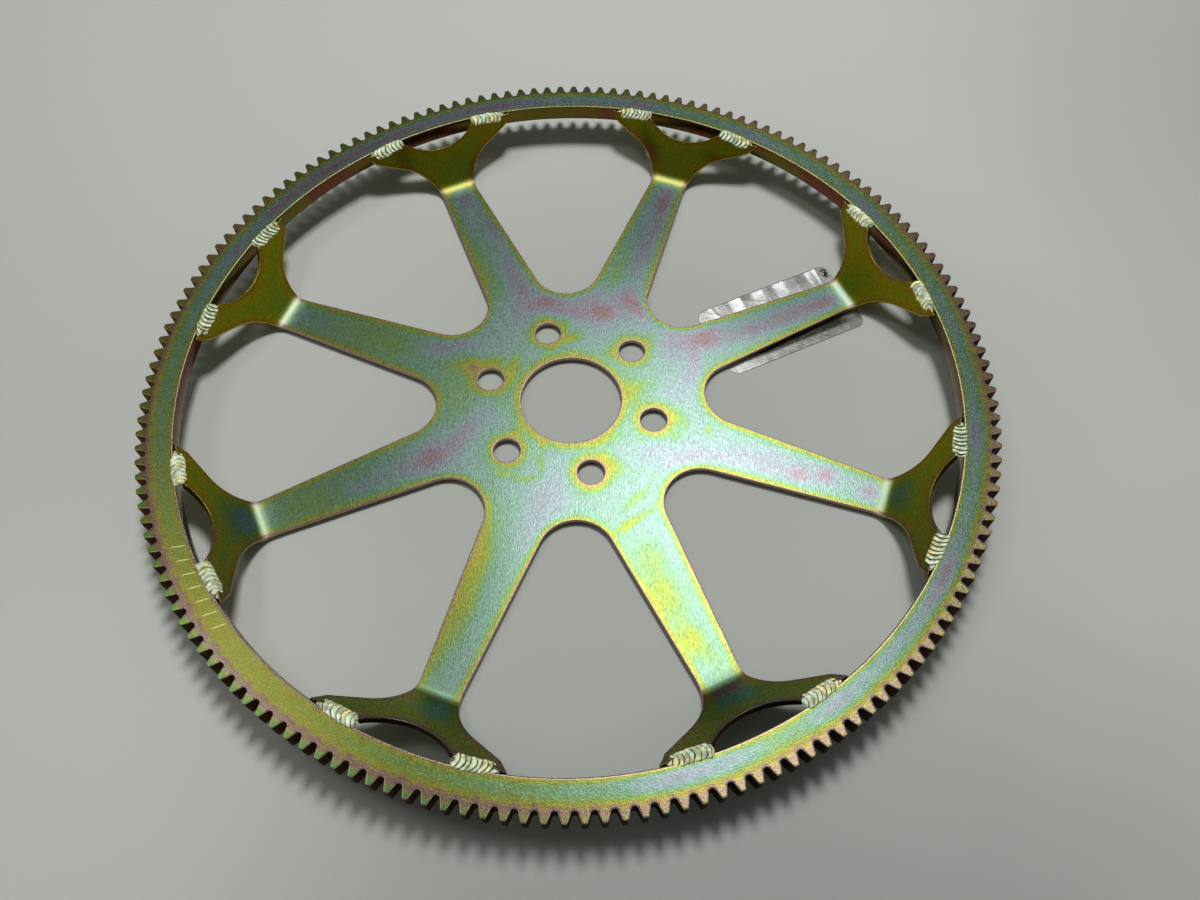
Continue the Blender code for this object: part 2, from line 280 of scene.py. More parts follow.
# Noise about zero, whose lumps have the given size in mm, one number or one for each axis
def noiseOf(tree, place, size, detail=3.0, roughness=0.5, distortion=0.0, turn=0.0):
    sizes = size if isinstance(size, tuple) else (size, size, size)
    stretch = put(tree, "ShaderNodeMapping", {
        "Vector": place,
        "Scale": tuple(1 / s / mm for s in sizes),
        "Rotation": (0, 0, radians(turn)),
    })
    noise = put(tree, "ShaderNodeTexNoise", {
        "Vector": stretch.outputs["Vector"],
        "Scale": 1.0,
        "Detail": detail,
        "Roughness": roughness,
        "Distortion": distortion,
    })
    return maths(tree, "SUBTRACT", noise.outputs["Fac"], 0.5)


# Eased from bottom below low to top above high, by 3 times the share squared less 2 times its cube
def eased01(tree, value, low, high, top=1.0, bottom=0.0):
    return put(tree, "ShaderNodeMapRange", {
        "Value": value,
        "From Min": low,
        "From Max": high,
        "To Min": bottom,
        "To Max": top,
    }, interpolation_type="SMOOTHSTEP").outputs["Result"]


# The same the other way: from top below low to 0 above high
def faded(tree, value, low, high, top=1.0):
    return eased01(tree, value, low, high, top=0.0, bottom=top)


# One of the named numbers that a mesh carries at its points
def attribute(tree, name):
    return put(tree, "ShaderNodeAttribute", attribute_name=name).outputs["Fac"]


# Film colour at a thickness from 0 to 1, by straight steps between the stops above
def filmRamp(tree, thickness):
    ramp = put(tree, "ShaderNodeValToRGB", {"Fac": thickness})
    elements = ramp.color_ramp.elements
    while len(elements) < len(film["stops"]):
        elements.new(0.5)
    for element, (position, colour) in zip(elements, film["stops"]):
        element.position = position
        element.color = (*colour, 1)
    return ramp.outputs["Color"]


# first times 1 less the share, plus second times the share
def mixColour(tree, share, first, second, blend="MIX"):
    inputs = {0: share, 6: first, 7: second}
    return put(tree, "ShaderNodeMix", inputs, data_type="RGBA", blend_type=blend).outputs[2]


# A colour times another
def tinted(tree, colour, tint):
    return mixColour(tree, 1.0, colour, tint, "MULTIPLY")


# A colour times one number
def scaled(tree, colour, factor):
    grey = put(tree, "ShaderNodeCombineColor", {0: factor, 1: factor, 2: factor})
    return tinted(tree, colour, grey.outputs[0])


# A colour times 1 plus some of a noise about zero
def speckled(tree, colour, noise, strength):
    return scaled(tree, colour, summed(tree, 1.0, (noise, strength)))


# The normal tilted by the slope of a height, which is distance metres for each unit
def bumpOf(tree, height, distance, strength):
    inputs = {"Height": height, "Distance": distance, "Strength": strength}
    return put(tree, "ShaderNodeBump", inputs).outputs["Normal"]


# How full the film is at a distance from an edge: 1 less the exponential of minus the distance
# over the reach, both in mm, to a power
def filmFullness(tree, distance, reach, power):
    share = maths(tree, "POWER", maths(tree, "DIVIDE", distance, reach), power)
    return maths(tree, "SUBTRACT", 1.0, maths(tree, "EXPONENT", product(tree, share, -1.0)))


platePaint = {
    "driftNoise": {"size": (30, 38, 30), "detail": 2.5, "distortion": 0.6},
    "mottleNoise": {"size": (5, 7, 6), "detail": 5.0, "roughness": 0.6, "turn": -25},
    "grainNoise": {"size": (0.62, 1.9, 0.9), "detail": 3.0, "roughness": 0.65, "turn": -8},
    "brushedNoise": {"size": (0.45, 1.7, 0.8), "detail": 2.0, "roughness": 0.6, "turn": -14},
    "base": 0.62,
    "drift": 0.20,
    "mottle": 0.24,
    "grain": 0.17,
    "speckle": 1.0,
    "footBase": 0.33,
    "footDrift": 0.5,
    "footMottle": 0.10,
    "rimReach": 2.2,
    "rimDrift": 2.6,
    "rimMottle": 3.6,
    "rimFoot": 1.3,
    "rimLeast": 0.8,
    "rimPower": 1.45,
    # a painted highlight along the cut edges: its band in mm from the edge, its share and its
    # colour
    "rimHighlightBand": (0.25, 0.75),
    "rimHighlightShare": 0.85,
    "rimHighlight": (0.98, 0.82, 0.60),
    # where the far side begins along y: it sets the painted shade of the feet and the painted glint
    # of the folds
    "farSide": (-0.13, -0.02),  # from where to where, in metres along y, the far look takes over
    # painted shade and tint of the feet: darker on the near side, yellower on the far side
    "nearFootShade": (0.42, 0.46, 0.50),
    "farFootShade": (1.0, 0.92, 0.15),
    "coldReflectionTint": (0.36, 0.50, 0.58),
    "warmFoot": (0.60, 0.26, 0.22),
    # cut walls: partly their own oxide scale, partly painted shade
    "wall": (0.11, 0.042, 0.020),
    "foldFilm": -0.04,
    "foldFilmFar": -0.34,
    # colours of the painted glint on the folds: at the far side, and at the sides
    "farFoldGlint": (1.0, 1.0, 0.28),
    "sideFoldGlint": (0.80, 1.0, 0.86),
    "sideBand": (0.06, 0.10),
    "glint": 0.1,
    "glintFar": 0.85,
    "glintBand": (0.4, 2.6),
    "glintAtEdge": 0.25,
    "glintShare": 0.78,
    "glintBare": -0.8,
    "roughness": 0.27,
    "roughGrain": 0.25,
    "roughFold": 0.13,
    "roughWall": 0.12,
    "bumpHeight": 0.00006,
    "bumpStrength": 0.6,
}


# Film thickness is a base plus noises and placed patches, times how full the film is at that
# distance from an edge; its colour then gets painted light and shade: the feet get painted shade by
# side and painted reflections, the steel is dimmed where it mirrors dim places, the cut walls are
# darkened partly by their own oxide and partly by painted shade, a painted highlight runs along the
# edges, and a painted glint whitens the folds where they mirror the window
def plateMaterial(p):
    material, tree, place = newMaterial("yellowZincPlate")
    x, y, _ = coordinates(tree, place)
    drift = noiseOf(tree, place, **p["driftNoise"])
    mottle = noiseOf(tree, place, **p["mottleNoise"])
    grain = noiseOf(tree, place, **p["grainNoise"])
    brushed = noiseOf(tree, place, **p["brushedNoise"])
    placed, edge = attribute(tree, "placed"), attribute(tree, "edgeDistance")
    foot, fold, wall = attribute(tree, "foot"), attribute(tree, "fold"), attribute(tree, "wall")
    far = eased01(tree, y, *p["farSide"])

    thickness = summed(
        tree, p["base"], (drift, p["drift"]), (placed, 1.0), (mottle, p["mottle"]))
    footFilm = summed(
        tree, p["footBase"], (drift, p["footDrift"]), (mottle, p["footMottle"]), (placed, 1.0))
    thickness = mixed(tree, foot, thickness, footFilm)

    # towards an edge the film thins out over a reach that wanders with the drift and mottle
    reach = summed(
        tree, p["rimReach"], (drift, p["rimDrift"]), (mottle, p["rimMottle"]), (foot, p["rimFoot"]))
    reach = maths(tree, "MAXIMUM", reach, p["rimLeast"])
    thickness = product(tree, thickness, filmFullness(tree, edge, reach, p["rimPower"]))
    thickness = summed(tree, thickness, (grain, p["grain"]))
    cold = maths(tree, "SUBTRACT", 1.0, attribute(tree, "heat"), clamp=True)
    thickness = maths(tree, "MULTIPLY", thickness, cold, clamp=True)
    # the film thins a little along the folds, and much more at the far side, which colours the
    # painted glint there yellow
    thinner = summed(tree, p["foldFilm"], (far, p["foldFilmFar"]))
    thickness = summed(tree, thickness, (fold, thinner), clamp=True)

    colour = speckled(tree, filmRamp(tree, thickness), brushed, p["speckle"])
    # a painted highlight along every cut edge, where its rounding catches the light
    rim = faded(tree, edge, *p["rimHighlightBand"], p["rimHighlightShare"])
    colour = mixColour(tree, rim, colour, p["rimHighlight"])
    # painted shade on the feet, by the side they are on
    tint = mixColour(tree, far, p["nearFootShade"], p["farFootShade"])
    # a painted reflection of cold places of the room on the feet
    tint = mixColour(tree, attribute(tree, "cool"), tint, p["coldReflectionTint"])
    tint = mixColour(tree, attribute(tree, "warm"), tint, p["warmFoot"])
    colour = mixColour(tree, foot, colour, tinted(tree, colour, tint))
    # painted reflection: the colour dimmed where the steel mirrors dim places of the room
    colour = scaled(tree, colour, attribute(tree, "bright"))
    # the cut walls are darker: partly their own oxide scale, partly painted shade
    colour = mixColour(tree, wall, colour, tinted(tree, colour, p["wall"]))

    # the painted glint on a fold is full at the far side, and weaker near the cut edges
    onTop = maths(tree, "SUBTRACT", 1.0, wall)
    fromEdge = eased01(tree, edge, *p["glintBand"], bottom=p["glintAtEdge"])
    glint = summed(tree, p["glint"], (far, p["glintFar"]))
    glint = product(tree, fold, glint, onTop, fromEdge)
    aside = eased01(tree, maths(tree, "ABSOLUTE", x), *p["sideBand"])
    line = mixColour(tree, aside, p["farFoldGlint"], p["sideFoldGlint"])
    rough = summed(
        tree, p["roughness"], (grain, p["roughGrain"]), (fold, p["roughFold"]),
        (wall, p["roughWall"]), clamp=True)
    finishWith(tree, {
        "Base Color": mixColour(tree, product(tree, glint, p["glintShare"]), colour, line),
        "Roughness": rough,
        "Metallic": summed(tree, 1.0, (glint, p["glintBare"])),
        "Normal": bumpOf(tree, brushed, p["bumpHeight"], p["bumpStrength"]),
    })
    return material


plate = {
    "thickness": 2.5,
    "middleHeight": 1.8,
    "boreRadius": 22.1,
    "boltCircleRadius": 37.65,
    "boltHoleRadius": 5.75,
    "boltAngles": (41.3, 104.9, 161.3, 221.3, 281.3, 341.3),
    "spokes": 8,
    "windowInnerRadius": 59.3,
    "spokeEndHalfWidth": 8.6,
    "spokeTaper": 3.5,
    "ringRadius": 165.1,
    "ringTop": 20.65,
    "bendAngle": 41.0,
    "bendInsideRadius": 5.7,
    "prongTopDrop": 0.9,
    "prongWallGap": 1.6,
    "forkDepth": 7.8,
    "mouthHalfWidth": 17.5,
    "footHalfSpan": 36.3,
    "tipHalfSpan": 38.0,
    "tipReach": 2.9,
    "cornerInset": 2.3,
    "cornerDepth": 2.8,
    "flankAngle": 64.0,
    "flareRadius": 22.5,
    "edgeRadius": 0.3,
    "edgeTurns": (0.0, 30.0, 60.0, 90.0),
    "rim": (0.0, 0.18, 0.5, 1.0, 1.9),
    "acrossSteps": 6,
    "hubRadius": 55.5,
    "boreBand": 25.0,
    "bendMargin": 2.0,
    "splitAt": 152.0,
    "windowPoints": 19,
    "straightPoints": 22,
    "bendPoints": 25,
    "flarePoints": 6,
    "turnPoints": 9,
    "flankPoints": 6,
    "cornerPoints": 5,
    "forkPoints": 12,
    "bisectorPoints": 4,
    "sectorPoints": 21,
    "holePoints": 17,
    "holeShare": 0.72,  # how much closer the bore and the bolt holes count as an edge
    "wallBand": (0.1, 0.45),
    "weldBand": (16, 20, 37, 41),
    "heat": 0.75,
    "heatReach": 3.4,
    "footBand": (1.5, 1.0),
    "foldPlace": 2.0,
    "foldReach": (2.8, 1.8),
    "mergeReach": 0.004,
}


# The bend by the neutral fibre rule: where it starts and ends on the flat blank, and how far
# out the foot reaches
def bendOf(p):
    bend = radians(p["bendAngle"])
    half = p["thickness"] / 2
    prongMiddle = (p["mouthHalfWidth"] + p["footHalfSpan"]) / 2
    reach = sqrt((p["ringRadius"] - p["prongWallGap"]) ** 2 - prongMiddle**2) - half * sin(bend)
    rise = p["ringTop"] - p["prongTopDrop"] - half * cos(bend) - p["middleHeight"]
    slope = rise / sin(bend)
    radius = p["bendInsideRadius"] + half
    tangent = radius * tan(bend / 2)
    start = reach - slope * cos(bend) - tangent
    end = start + radius * bend
    blank = sqrt((end + slope - tangent) ** 2 + prongMiddle**2)
    return {"angle": bend, "radius": radius, "start": start, "end": end, "blankRadius": blank}


# Distance out and height of points of the blank once its foot is bent up: flat, then round
# the bend's centre, then straight along the slope
def bentPlace(p, bend, along, above):
    lean = np.clip((along - bend["start"]) / bend["radius"], 0, bend["angle"])
    arm = bend["radius"] - above
    beyond = np.maximum(along - bend["end"], 0)
    flat = np.minimum(along, bend["start"])
    out = flat + arm * np.sin(lean) + beyond * cos(bend["angle"])
    height = p["middleHeight"] + bend["radius"] - arm * np.cos(lean) + beyond * sin(bend["angle"])
    return out, height


# Half of one spoke's outline, with the spoke along X: window arc, straight edge, flare, prong,
# outer edge and fork, and the row numbers at which one part gives way to the next
def spokeOutline(p, bend):
    beta = pi / p["spokes"]
    taper = radians(p["spokeTaper"])
    normal = np.array((sin(taper), cos(taper)))
    edgePoint = np.array((bend["start"], p["spokeEndHalfWidth"]))
    offset = edgePoint @ normal
    opening = sin(beta + taper)
    windowRadius = (p["windowInnerRadius"] * opening - offset) / (1 - opening)
    windowCentre = (p["windowInnerRadius"] + windowRadius) * np.array((cos(beta), sin(beta)))
    side = -pi / 2 - taper
    windowTurns = np.linspace(beta - pi, side, p["windowPoints"])
    window = arcPoints(windowCentre, windowRadius, windowTurns)

    cornerY = p["footHalfSpan"] - p["cornerInset"]
    cornerX = sqrt((bend["blankRadius"] - p["cornerDepth"]) ** 2 - cornerY**2)
    corner = np.array((cornerX, cornerY))
    flank = radians(p["flankAngle"])
    flankNormal = np.array((-sin(flank), cos(flank)))
    both = np.array((normal, flankNormal))
    flareCentre = np.linalg.solve(both, np.array((offset, corner @ flankNormal)) + p["flareRadius"])
    flareStart, flareEnd = arcPoints(flareCentre, p["flareRadius"], (side, flank - pi / 2))

    straightEnd, bendEnd = bend["start"] - p["bendMargin"], bend["end"] + p["bendMargin"]
    stations = np.concatenate((
        np.linspace(window[-1, 0], straightEnd, p["straightPoints"])[1:],
        np.linspace(straightEnd, bendEnd, p["bendPoints"])[1:],
        np.linspace(bendEnd, p["splitAt"], p["flarePoints"])[1:],
    ))
    edgeY = (offset - stations * normal[0]) / normal[1]
    inFlare = np.clip(stations - flareCentre[0], -p["flareRadius"], p["flareRadius"])
    flareY = flareCentre[1] - np.sqrt(p["flareRadius"] ** 2 - inFlare**2)
    spoke = np.stack((stations, np.where(stations < flareStart[0], edgeY, flareY)), -1)

    splitTurn = asin((p["splitAt"] - flareCentre[0]) / p["flareRadius"]) - pi / 2
    flareTurns = np.linspace(splitTurn, flank - pi / 2, p["turnPoints"])
    flareRest = arcPoints(flareCentre, p["flareRadius"], flareTurns)[1:]
    blank = bend["blankRadius"]
    tipRadius = blank + p["tipReach"]
    tipTurn, mouthTurn = asin(p["tipHalfSpan"] / tipRadius), asin(p["mouthHalfWidth"] / blank)
    tip = arcPoints((0, 0), tipRadius, [tipTurn])[0]
    mouth = arcPoints((0, 0), blank, [mouthTurn])[0]
    toCorner = flareEnd + (corner - flareEnd) * np.linspace(0, 1, p["flankPoints"])[1:, None]
    toTip = corner + (tip - corner) * np.linspace(0, 1, p["cornerPoints"])[1:, None]
    endShares = rowShares([np.linalg.norm(tip - mouth)], p["rim"], p["acrossSteps"])[0]
    turns = tipTurn + (mouthTurn - tipTurn) * endShares
    radii = blank + p["tipReach"] * (1 - endShares) ** 2
    outerEdge = np.stack((radii * np.cos(turns), radii * np.sin(turns)), -1)[1:]

    bottom = blank - p["forkDepth"]
    rise = mouth[0] - bottom
    forkRadius = (p["mouthHalfWidth"] ** 2 + rise**2) / (2 * rise)
    mouthAngle = atan2(p["mouthHalfWidth"], rise - forkRadius)
    forkTurns = np.linspace(mouthAngle, pi, p["forkPoints"])
    fork = arcPoints((bottom + forkRadius, 0), forkRadius, forkTurns)[1:]

    line = np.vstack((window, spoke, flareRest, toCorner, toTip, outerEdge, fork))
    prong = len(flareRest) + len(toCorner) + len(toTip)
    marks = np.cumsum([len(window), len(spoke), prong, len(outerEdge)]) - 1
    vectors = cornerVectors(line, (cos(beta), sin(beta)), (1.0, 0.0))
    return {"line": line, "marks": marks, "vectors": vectors}


# Distance of points to the nearest stretch of an open line
def lineDistance(points, line):
    start, run = line[:-1], np.diff(line, axis=0)
    offset = points[:, None, :] - start[None]
    share = np.clip(np.sum(offset * run, -1) / np.sum(run * run, -1), 0, 1)
    return np.linalg.norm(offset - share[..., None] * run, axis=-1).min(axis=1)


# Inset and height of the points that round off a cut edge, from top face to bottom face
def edgeProfile(p):
    e, half = p["edgeRadius"], p["thickness"] / 2
    turn = np.radians(p["edgeTurns"])
    inset = e * (1 - np.sin(turn))
    above = half - e * (1 - np.cos(turn))
    return np.concatenate((inset, inset[::-1])), np.concatenate((above, -above[::-1]))


# Wall of a cut edge: the profile carried along a line by its corner vectors
def wallGrid(line, vectors, profile):
    inset, above = profile
    flat = line[None] - inset[:, None, None] * vectors[None]
    height = np.broadcast_to(above[:, None, None], flat.shape[:2] + (1,))
    return np.concatenate((flat, height), -1)


# Collects grids of points and their quads into one mesh
class Collector:
    # The grids' points, their quads, and how many points there are so far
    def __init__(self):
        self.points, self.quads, self.count = [], [], 0

    # A grid of points as rows by columns of quads, numbered on from what is there
    def add(self, grid, closeColumns=False):
        rows, columns = grid.shape[:2]
        self.quads.append(gridQuads(rows, columns, self.count, closeColumns=closeColumns))
        self.points.append(grid.reshape(-1, 3))
        self.count += rows * columns

    # A flat patch as both faces of the sheet
    def addFaces(self, flat, half, closeColumns=False):
        for above in (half, -half):
            height = np.full(flat.shape[:2] + (1,), above)
            self.add(np.concatenate((flat, height), -1), closeColumns)


# Points turned about Z by an angle, x' = x cos - y sin and y' = x sin + y cos, after mirroring
# them in the spoke's own axis if asked
def turnedGrid(grid, angle, mirror=False):
    out = grid.copy()
    if mirror:
        out[..., 1] *= -1
    x, y = out[..., 0].copy(), out[..., 1].copy()
    out[..., 0] = x * cos(angle) - y * sin(angle)
    out[..., 1] = x * sin(angle) + y * cos(angle)
    return out


# Half a spoke as patches: hub to split line, prong, and the wall round both
def halfSpokePatches(p, bend, shape):
    e = p["edgeRadius"]
    line, vectors = shape["line"], shape["vectors"]
    windowEnd, split, tip, mouth = shape["marks"]
    inset = line - e * vectors
    beta = pi / p["spokes"]
    hub = p["hubRadius"]
    axis = np.array((cos(beta), sin(beta)))
    bisector = np.linspace(hub, p["windowInnerRadius"] - e, p["bisectorPoints"])[:-1, None] * axis
    outer = np.vstack((bisector, inset[: split + 1]))
    turnRow = len(bisector) + windowEnd
    innerX = np.concatenate((
        np.linspace(hub, line[windowEnd, 0], turnRow + 1),
        line[windowEnd + 1 : split + 1, 0],
    ))
    inner = np.stack((innerX, np.zeros(len(innerX))), -1)
    shares = rowShares(np.linalg.norm(outer - inner, axis=1), p["rim"], p["acrossSteps"])
    firstRow = arcPoints((0, 0), hub, shares[0] * beta)
    head = coonsPatch(inner[: turnRow + 1], outer[: turnRow + 1], shares[: turnRow + 1], firstRow)
    rest = coonsPatch(inner[turnRow:], outer[turnRow:], shares[turnRow:])

    prongOuter = inset[split : tip + 1]
    forkInset = inset[mouth:][::-1]
    centreSteps = len(prongOuter) - len(forkInset)
    centreX = np.linspace(line[split, 0], forkInset[0, 0], centreSteps + 1)[:-1]
    prongInner = np.vstack((np.stack((centreX, np.zeros(centreSteps)), -1), forkInset))
    prongWidths = np.linalg.norm(prongOuter - prongInner, axis=1)
    prongShares = rowShares(prongWidths, p["rim"], p["acrossSteps"])
    prongShares[0] = shares[-1]
    lastRow = inset[tip : mouth + 1][::-1]
    prong = coonsPatch(prongInner, prongOuter, prongShares, None, lastRow)
    wall = wallGrid(line, vectors, edgeProfile(p))
    return (head, rest, prong), wall, shares[0] * beta


# The hub between its outer circle and the bore: a band round the bore, and round each bolt
# hole a patch that spreads from the hole out to the boundary of its own sector
def hubPatches(p, halfAngles, collector):
    e, half = p["edgeRadius"], p["thickness"] / 2
    pitch = 2 * pi / p["spokes"]
    sector = np.concatenate((-halfAngles[::-1], halfAngles[1:]))[:-1]
    angles = np.concatenate([pitch / 2 + k * pitch + sector for k in range(p["spokes"])])
    profile = edgeProfile(p)
    rim = np.array(p["rim"])
    radii = np.concatenate((p["boreRadius"] + e + rim, [p["boreBand"]]))
    ring = np.stack((np.cos(angles), np.sin(angles)), -1)
    collector.addFaces(radii[:, None, None] * ring[None], half, closeColumns=True)
    collector.add(wallGrid(p["boreRadius"] * ring, -ring, profile), closeColumns=True)

    holes = np.radians(p["boltAngles"])
    following = np.roll(holes, -1)
    following[-1] += 2 * pi
    middles = (holes + following) / 2
    total = len(angles)
    bounds = [int(np.argmin(np.abs(np.angle(np.exp(1j * (angles - m)))))) for m in middles]
    for k, angle in enumerate(holes):
        first, last = bounds[k - 1], bounds[k]
        picked = np.arange(first, last + 1 + (total if last < first else 0)) % total
        unit = ring[picked]
        side = np.linspace(p["hubRadius"], p["boreBand"], p["sectorPoints"])[1:-1, None]
        loop = np.vstack((
            p["hubRadius"] * unit,
            side * unit[-1],
            p["boreBand"] * unit[::-1],
            side[::-1] * unit[0],
        ))
        centre = p["boltCircleRadius"] * np.array((cos(angle), sin(angle)))
        direction = loop - centre
        direction /= np.linalg.norm(direction, axis=1)[:, None]
        start = centre + (p["boltHoleRadius"] + e) * direction
        run = np.linalg.norm(loop - start, axis=1)
        near = rim[:, None] / run[None]
        steps = np.linspace(0, 1, p["holePoints"])[1:, None]
        shares = np.vstack((near, near[-1:] + (1 - near[-1:]) * steps))[..., None]
        patch = (1 - shares) * start[None] + shares * loop[None]
        collector.addFaces(patch, half, closeColumns=True)
        wall = wallGrid(centre + p["boltHoleRadius"] * direction, -direction, profile)
        collector.add(wall, closeColumns=True)


# Patches of thicker (plus) or thinner (minus) film: middle, half length, half width, turn in
# degrees, amount. The pink ones lie where the finish pooled, the yellow ones by the holes
filmPatches = (
    (8, 50, 36, 13, 0, 0.25), (-9, 55, 6, 3.5, 10, 0.20), (16, 47, 5, 4.5, 90, 0.20),
    (30, 54, 8, 4.5, -60, 0.20), (36, 45, 6, 3, -60, 0.16), (1, 58, 6, 3, 90, -0.16),
    (55, 31, 18, 10, 15, 0.26), (63, 31, 6, 5, 90, 0.12), (56, 14, 10, 3.5, 85, 0.18),
    (100, 41, 32, 5, 22, 0.24), (121, 49, 9, 4, 25, 0.16), (84, 34, 4, 3, 10, 0.10),
    (26, 74, 18, 4, 65, -0.18), (37, 84, 20, 5, 68, 0.16), (50, 114, 9, 4.5, 65, 0.34),
    (46, 99, 8, 3, 67, 0.14), (-40, 76, 22, 6, 110, -0.20), (-24, 68, 16, 5, 112, 0.22),
    (-34, 98, 11, 3, 120, 0.24), (-48, 119, 9, 5, 110, 0.14), (-90, 38, 42, 10, 157, -0.13),
    (-60, 30, 9, 5, 0, 0.26), (-49, 32, 6, 3, 0, 0.20), (-125, 51, 8, 5, 157, 0.10),
    (-50, 9, 14, 10, 90, -0.15), (-44, -13, 11, 5, 50, 0.18), (-57, -26, 15, 8, 35, 0.26),
    (-61, -28, 7, 4, 40, 0.16), (-80, -35, 13, 4.5, 25, 0.22), (-92, -41, 5, 3, 25, 0.14),
    (-112, -47, 18, 7, 20, -0.18), (-134, -57, 8, 6, 20, 0.10), (-12, -50, 18, 9, 75, 0.16),
    (-19, -68, 8, 3, 70, 0.10), (-38, -62, 18, 4, 262, -0.28), (-45, -92, 32, 6.5, 248, -0.34),
    (-33, -92, 22, 4, 246, -0.04), (22, -62, 8, 2.2, 35, -0.34), (26, -50, 7, 2, 45, -0.26),
    (31, -56, 5, 1.5, 40, -0.20), (30, -78, 9, 7, -60, -0.22), (35, -94, 10, 8, -60, -0.36),
    (43, -112, 8, 6, -65, -0.36), (52, -122, 9, 4, -68, -0.14), (40, -70, 14, 4, -72, 0.06),
    (50, -34, 16, 7, -8, 0.20), (34, -27, 5, 3.5, 20, 0.16), (84, -36, 28, 6, -18, 0.16),
    (95, -43, 5, 4, -10, 0.18), (107, -43, 4, 5, -5, 0.26), (124, -52, 4, 6, -15, 0.26),
    (47, -12, 3.5, 7, 20, -0.24), (45, -21, 3, 2.5, 0, -0.20), (27, 2, 9, 5, 95, -0.26),
    (33, 6, 6, 4, 20, -0.14), (59, -18, 2, 2, 0, -0.32), (48, 2, 8, 9, 0, 0.06),
    (19, 24, 4, 3, 0, -0.26), (37, 31, 3, 5, -30, -0.26), (-11, 44, 5, 2.5, 5, -0.36),
    (-1, 42, 2.6, 4, -20, -0.34), (1, 33, 6, 2.4, 15, -0.38), (5, 38, 3, 5, -40, -0.14),
    (-8, 27, 8, 1.2, 50, -0.24), (-43, 18, 3.5, 6, 20, -0.38), (-34, 22, 7, 2.5, 0, -0.26),
    (-25, 18, 2.6, 8, -12, -0.42), (-31, 0, 3, 5, 0, -0.16), (-48, 20, 8, 4, 0, -0.16),
    (-24, -17, 2.5, 4, -20, -0.36), (-30, -36, 5, 1.6, 0, -0.30), (-20, -39, 7, 1.3, 0, -0.36),
    (-14, -32, 1.3, 6, 5, -0.34), (-13, -22, 1.6, 4, 15, -0.36), (17, -34, 4, 6, 30, -0.30),
    (13, -29, 4, 2, 40, -0.20), (14, -22, 10, 3, 20, -0.18), (-20, -14, 6, 3, 130, -0.16),
    (8, -44, 8, 3, 30, -0.10), (56, -134, 9, 2.6, 22, 0.52), (58, -140, 10, 3.5, 22, 0.24),
    (-52, -139, 8, 5, -22, 0.32), (-136, -56, 9, 4, 292, 0.36), (137, -57, 9, 5, 67, 0.22),
    (-58, -150, 9, 4, -22, -0.10), (-135, 56, 6, 3, 67, 0.14), (133, 60, 7, 4, -67, 0.12),
    (56, 136, 7, 3, -22, -0.10), (-54, 140, 6, 4, 22, 0.10), (-150, 60, 5, 8, 67, -0.12),
    (-84, 36, 40, 12, 157, -0.08), (-88, -36, 36, 12, 22, -0.10), (-52, 2, 8, 12, 0, -0.05),
)

# Places on the feet that mirror a cold part of the room in the photograph, and others that look
# maroon there. Both are painted into the finish
coldReflectionPatches = (
    (-137, -57, 15, 10.0, 292, 0.85), (66, -146, 12, 6.0, 22, 0.85),
    (-52, -139, 12, 6.0, -22, 0.60), (136, -56, 12, 4.0, 67, 0.65),
)
warmPatches = (
    (54, -134, 10, 3.0, 22, 0.90), (46, 148, 10, 3.5, 107, 0.90), (78, 137, 7, 3.0, 150, 0.60),
    (-82, 143, 4, 9, 30, 0.70), (122, 92, 8, 4, 67, 0.55), (-46, 141, 3.5, 12, -18, 0.45),
)

# Places that mirror a dimmer part of the room in the photograph, and how much light is lost
# there, which is painted into the finish too
dimPatches = (
    (41, 97, 34, 11, 67, 0.27), (99, 45, 34, 13, 22, 0.25), (-98, -39, 28, 13, 22, 0.17),
    (-42, -92, 30, 12, 66, 0.18), (40, -96, 28, 9, 114, 0.10), (60, -142, 18, 10, 22, 0.28),
    (138, 57, 10, 16, 22, 0.20),
)


patchSharpness = 1.3  # 1 makes a round bell, and more a flatter top


# Sum over the patches of a flat-topped bell of the distance from each one's middle, measured
# in its own half length and half width
def patchFilm(points, placed):
    amount = np.zeros(len(points))
    for x, y, halfLength, halfWidth, turn, strength in placed:
        c, n = cos(radians(turn)), sin(radians(turn))
        dx, dy = points[:, 0] - x, points[:, 1] - y
        along = (dx * c + dy * n) / halfLength
        across = (dy * c - dx * n) / halfWidth
        amount += strength * np.exp(-((along**2 + across**2) ** patchSharpness))
    return amount


